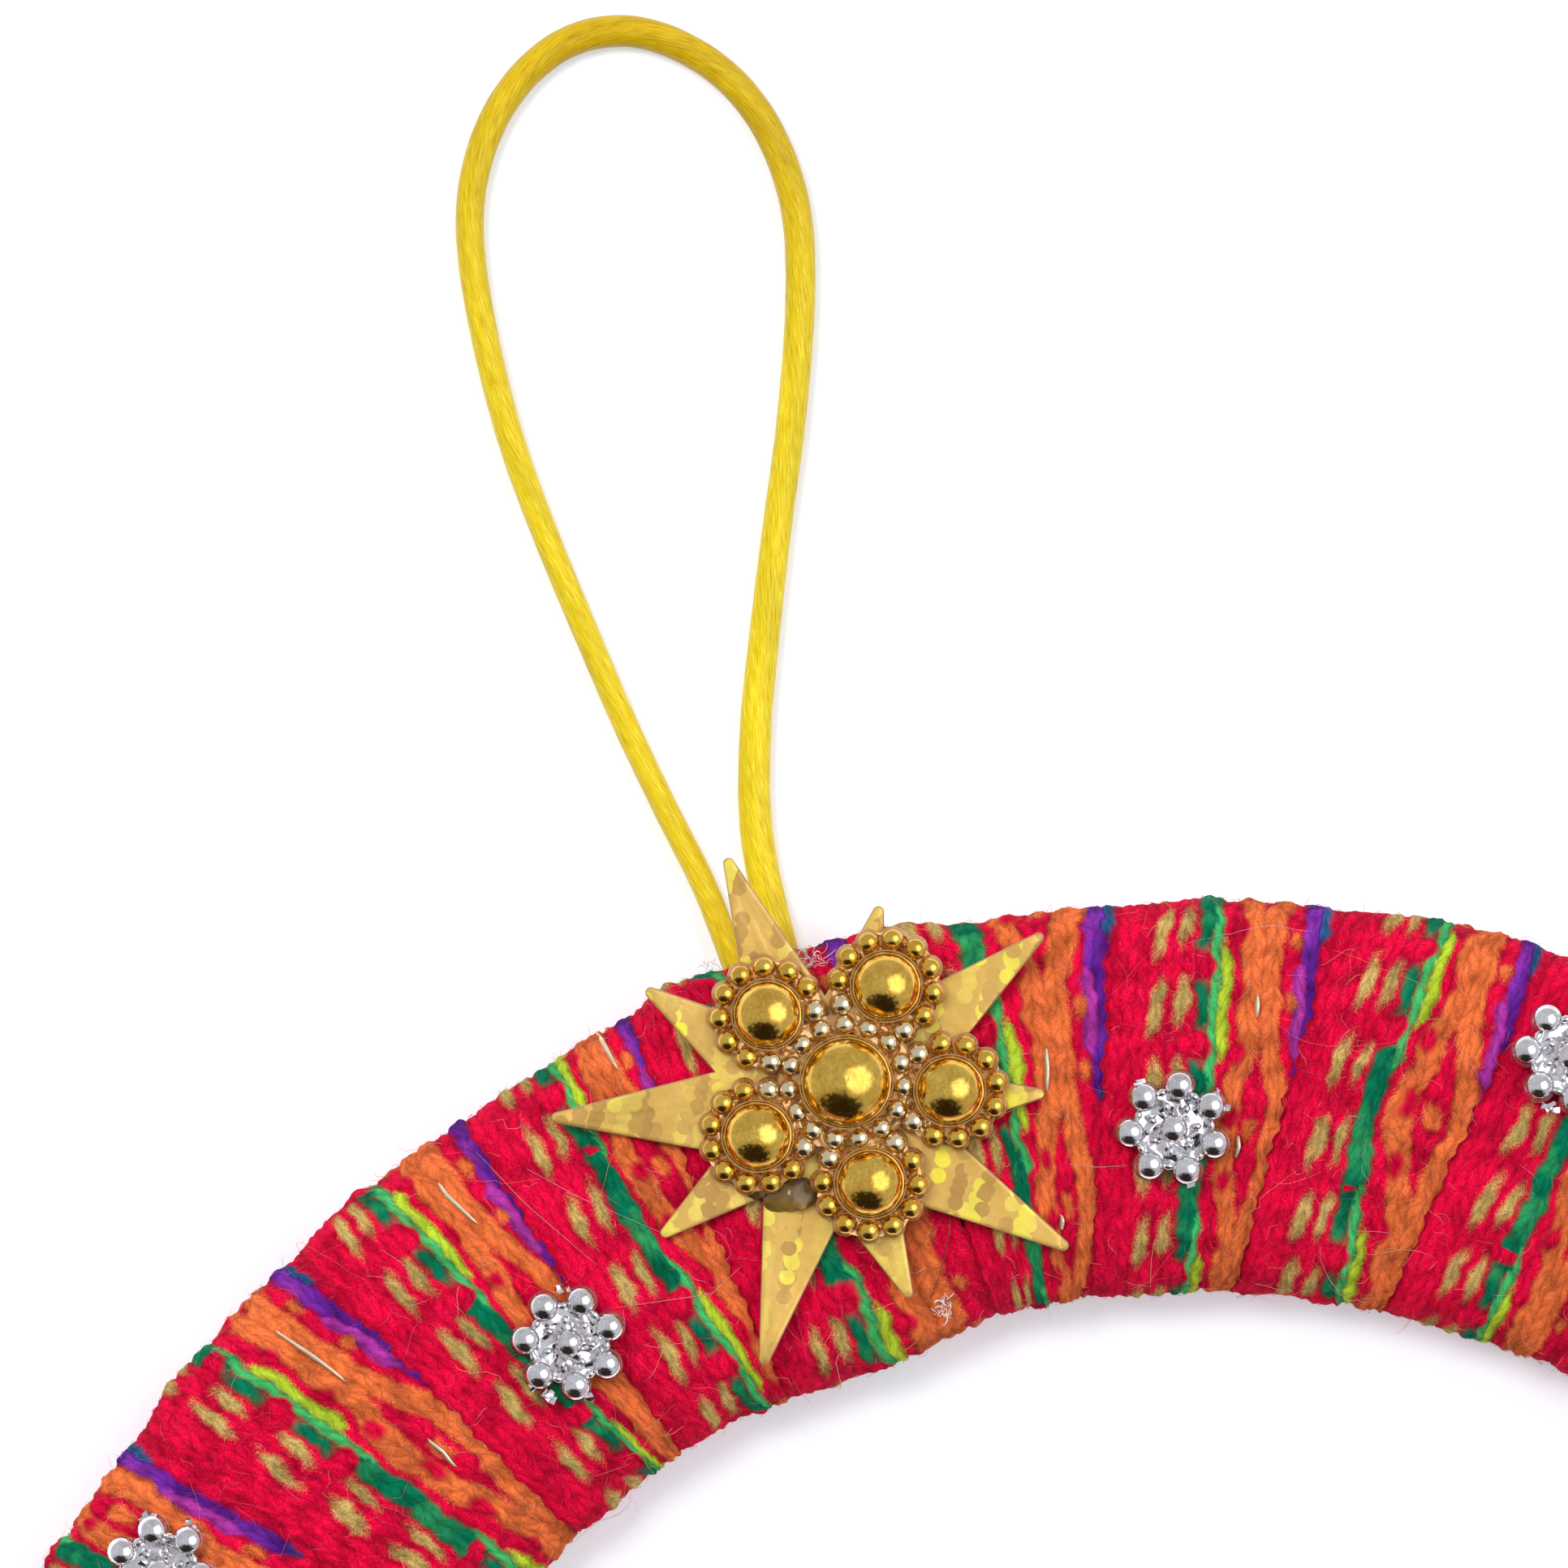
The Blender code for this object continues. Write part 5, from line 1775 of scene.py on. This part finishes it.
silver = vacuum_plated_silver()
clear_plastic = clear_moulded_plastic()
draw = np.random.default_rng(7)
for number, (angle, row) in enumerate(flower_places(), start=1):
    silver_flower_piece(number, angle, row, draw)

# %% [markdown]
# ## Traces of glue
#
# The star is stuck on with hot-melt glue by hand, and it shows: a clear, brownish lump between two
# rosettes, two thin threads that the glue gun drew over the cloth, and three tufts of white fibre that
# stuck to it. A lump is a ball whose points are pushed in and out by smooth waves. The threads are
# spindles, as the fibres are.


# %% Hot-melt glue
def hot_melt_glue():
    """Set glue: see-through, faintly brown and not quite clear."""
    look = {"Transmission Weight": 0.85, "IOR": 1.48, "Roughness": 0.16}
    colours = ("#5e4c38", "#a8946e")
    return clouded("hot_melt_glue", look, colours, size=1.429, detail=3.0, strength=0.3, depth=0.1)


# %% The lump and the threads
GLUE_LUMPS = (((974, 1470), (1.6, 1.25, 0.7), 51), ((940, 1458), (1.2, 0.8, 0.45), 52))
GLUE_THREADS = (
    (((1167, 1484), (1147, 1512), (1122, 1539)), 0.06),
    (((1174, 1484), (1169, 1516), (1160, 1543), (1139, 1592)), 0.11),
)


def lump(size, seed, around=28, rings=11):
    """A rounded lump of about these half sizes."""
    rise = np.linspace(0, math.pi, rings + 2)
    profile = np.stack([np.sin(rise), np.cos(rise)], axis=1)
    points, faces = turned(profile, around)
    swell = 1 + 0.16 * ripple(points[:, 0] + points[:, 2], points[:, 1] - points[:, 2], 1.4, seed)
    return points * swell[:, None] * size, faces


lumps = []
for pixel, size, seed in GLUE_LUMPS:
    points, faces = lump(size, seed)
    seat = at_pixel(*pixel, STAR_BOTTOM + STAR_SHEET + 0.3 * size[2])
    lumps.append((points + np.array(seat), faces))
for route, width in GLUE_THREADS:
    points, faces, _ = spindles(line_on_cloth(route, stops=20, lift=0.7)[None], np.array([width]))
    lumps.append((points, faces))
glue_mesh = make_mesh("glue_traces", *joined(lumps))
make_piece("glue_traces", glue_mesh, hot_melt_glue(), "gold_beads")

# %% The white tufts
TUFTS = (((1008, 1208), 1.2, 34), ((1156, 1592), 0.9, 26), ((886, 1226), 0.8, 12))


def tuft(pixel, reach, hairs, draw, stops=8):
    """A tangle of short curls round a place on the cloth."""
    row, column = cloth_rows_columns([pixel])
    middle, out = mixed(cloth, row, column)[0], mixed(out_of_cloth, row, column)[0]
    turn = draw.uniform(0, math.tau, hairs)[:, None]
    turn = turn + draw.normal(0, 2.0, hairs)[:, None] * np.linspace(0, 1, stops)
    step = draw.uniform(0.5, 1.3, hairs)[:, None] * reach / stops
    start = middle + draw.normal(0, 0.25 * reach, (hairs, 3)) * (1, 1, 0)
    rise = draw.normal(0.02, 0.05, turn.shape)
    moves = np.stack([np.cos(turn) * step, np.sin(turn) * step, rise], axis=-1)
    return start[:, None] + np.cumsum(moves, axis=1) + out * 0.35


draw = np.random.default_rng(404)
lines = np.concatenate([tuft(pixel, reach, hairs, draw) for pixel, reach, hairs in TUFTS])
fibre_piece("white_tufts", lines, draw.uniform(0.04, 0.1, len(lines)), np.full((len(lines), 3), 0.85))

# %% [markdown]
# ## Finishing: paper, light and hand-over
#
# The paper under the ornament is pure white in the photograph, up to a narrow shadow beside the ring. A
# studio gets that with paper on a light table, so this paper glows a little. What is left of the shadows
# falls to the lower right.

# %% The paper
TABLE_GLOW = 0.35


def white_paper():
    """Smooth white card on a light table: bright and matt, with a faint tooth."""
    look = {"Roughness": 0.9, "Specular IOR Level": 0.1, "Emission Strength": TABLE_GLOW}
    look["Emission Color"] = linear("#f0f6ff")
    return clouded("white_paper", look, ("#dadadd", "#e0e0e2"), size=1.111, detail=3.0)


PAPER_SIZE = 6000.0
half = PAPER_SIZE / 2
corners = np.array([(-half, -half, 0.0), (half, -half, 0.0), (half, half, 0.0), (-half, half, 0.0)])
paper = bpy.data.objects.new("paper", make_mesh("paper", corners, np.array([[0, 1, 2, 3]]), smooth=False))
scene.collection.objects.link(paper)
paper.data.materials.append(white_paper())

# %% [markdown]
# The beads mirror the whole room, so the room matters: it is a mottled grey above, with one bright window
# to the right and a dark side towards the bottom of the picture. That gives every bead its bright patch and
# its dark, ragged spot. A softer light from the top left throws the
# shadows. It only lights: it is hidden from the beads, which would otherwise show a second window.

# %% The room and the lights
ROOM_STRENGTH = 0.84
WINDOW_STRENGTH = 3.0
picture_right = Vector((math.cos(PICTURE_TURN), -math.sin(PICTURE_TURN), 0.0))
picture_up = Vector((math.sin(PICTURE_TURN), math.cos(PICTURE_TURN), 0.0))


def towards(right, up, height):
    """The direction that is this far right, up and out of the picture."""
    return (picture_right * right + picture_up * up + Vector((0.0, 0.0, height))).normalized()


def soft_light(name, direction, distance, size, power):
    """A square soft box that faces the star and isn't seen in the beads."""
    lamp = bpy.data.lights.new(name, "AREA")
    lamp.shape = "SQUARE"
    lamp.size = size * MM
    lamp.energy = power
    light = bpy.data.objects.new(name, lamp)
    scene.collection.objects.link(light)
    light.location = (on_ring(STAR_RADIUS, 0.0) + direction * distance) * MM
    light.rotation_euler = direction.to_track_quat("Z", "Y").to_euler()
    light.visible_glossy = False


def grey_room():
    """A mottled grey room with a soft, bright window and a ragged dark side."""
    world = bpy.data.worlds.new("grey_room")
    scene.world = world
    world.use_nodes = True
    tree = world.node_tree
    node = partial(add, tree)
    direction = node("TexCoord", output="Generated")
    shapes = node("TexNoise", {"Vector": direction, "Scale": 7.0, "Detail": 3.0})
    shapes = node("Math", {0: shapes, 1: 0.5}, operation="SUBTRACT")

    def within(middle, rough, start, end):
        """0 to 1 towards this direction, with a border that is rough by this much."""
        facing = {0: direction, 1: middle}
        facing = node("VectorMath", facing, "Value", operation="DOT_PRODUCT")
        facing = node("Math", {0: shapes, 1: rough, 2: facing}, operation="MULTIPLY_ADD")
        limits = {0: facing, 1: start, 2: end}
        return node("MapRange", limits, interpolation_type="SMOOTHSTEP")

    dark_side = within(towards(-0.15, -0.9, 0.42), rough=0.8, start=0.7, end=0.8)
    colour = {0: dark_side, 6: linear("#d3d6db"), 7: linear("#332c28")}
    colour = node("Mix", colour, 2, data_type="RGBA")
    window = within(towards(0.55, 0.12, 0.82), rough=0.12, start=0.84, end=0.97)
    strength = node("MapRange", {0: window, 3: ROOM_STRENGTH, 4: WINDOW_STRENGTH})
    furniture = node("MapRange", {0: shapes, 1: -0.16, 2: 0.16, 3: 0.74, 4: 1.26})
    strength = node("Math", {0: strength, 1: furniture}, operation="MULTIPLY")
    tree.links.new(colour, tree.nodes["Background"].inputs["Color"])
    tree.links.new(strength, tree.nodes["Background"].inputs["Strength"])


grey_room()
soft_light("window_top_left", towards(-0.38, 0.34, 1.0), distance=900.0, size=320.0, power=4.5)
scene.view_settings.view_transform = "Standard"
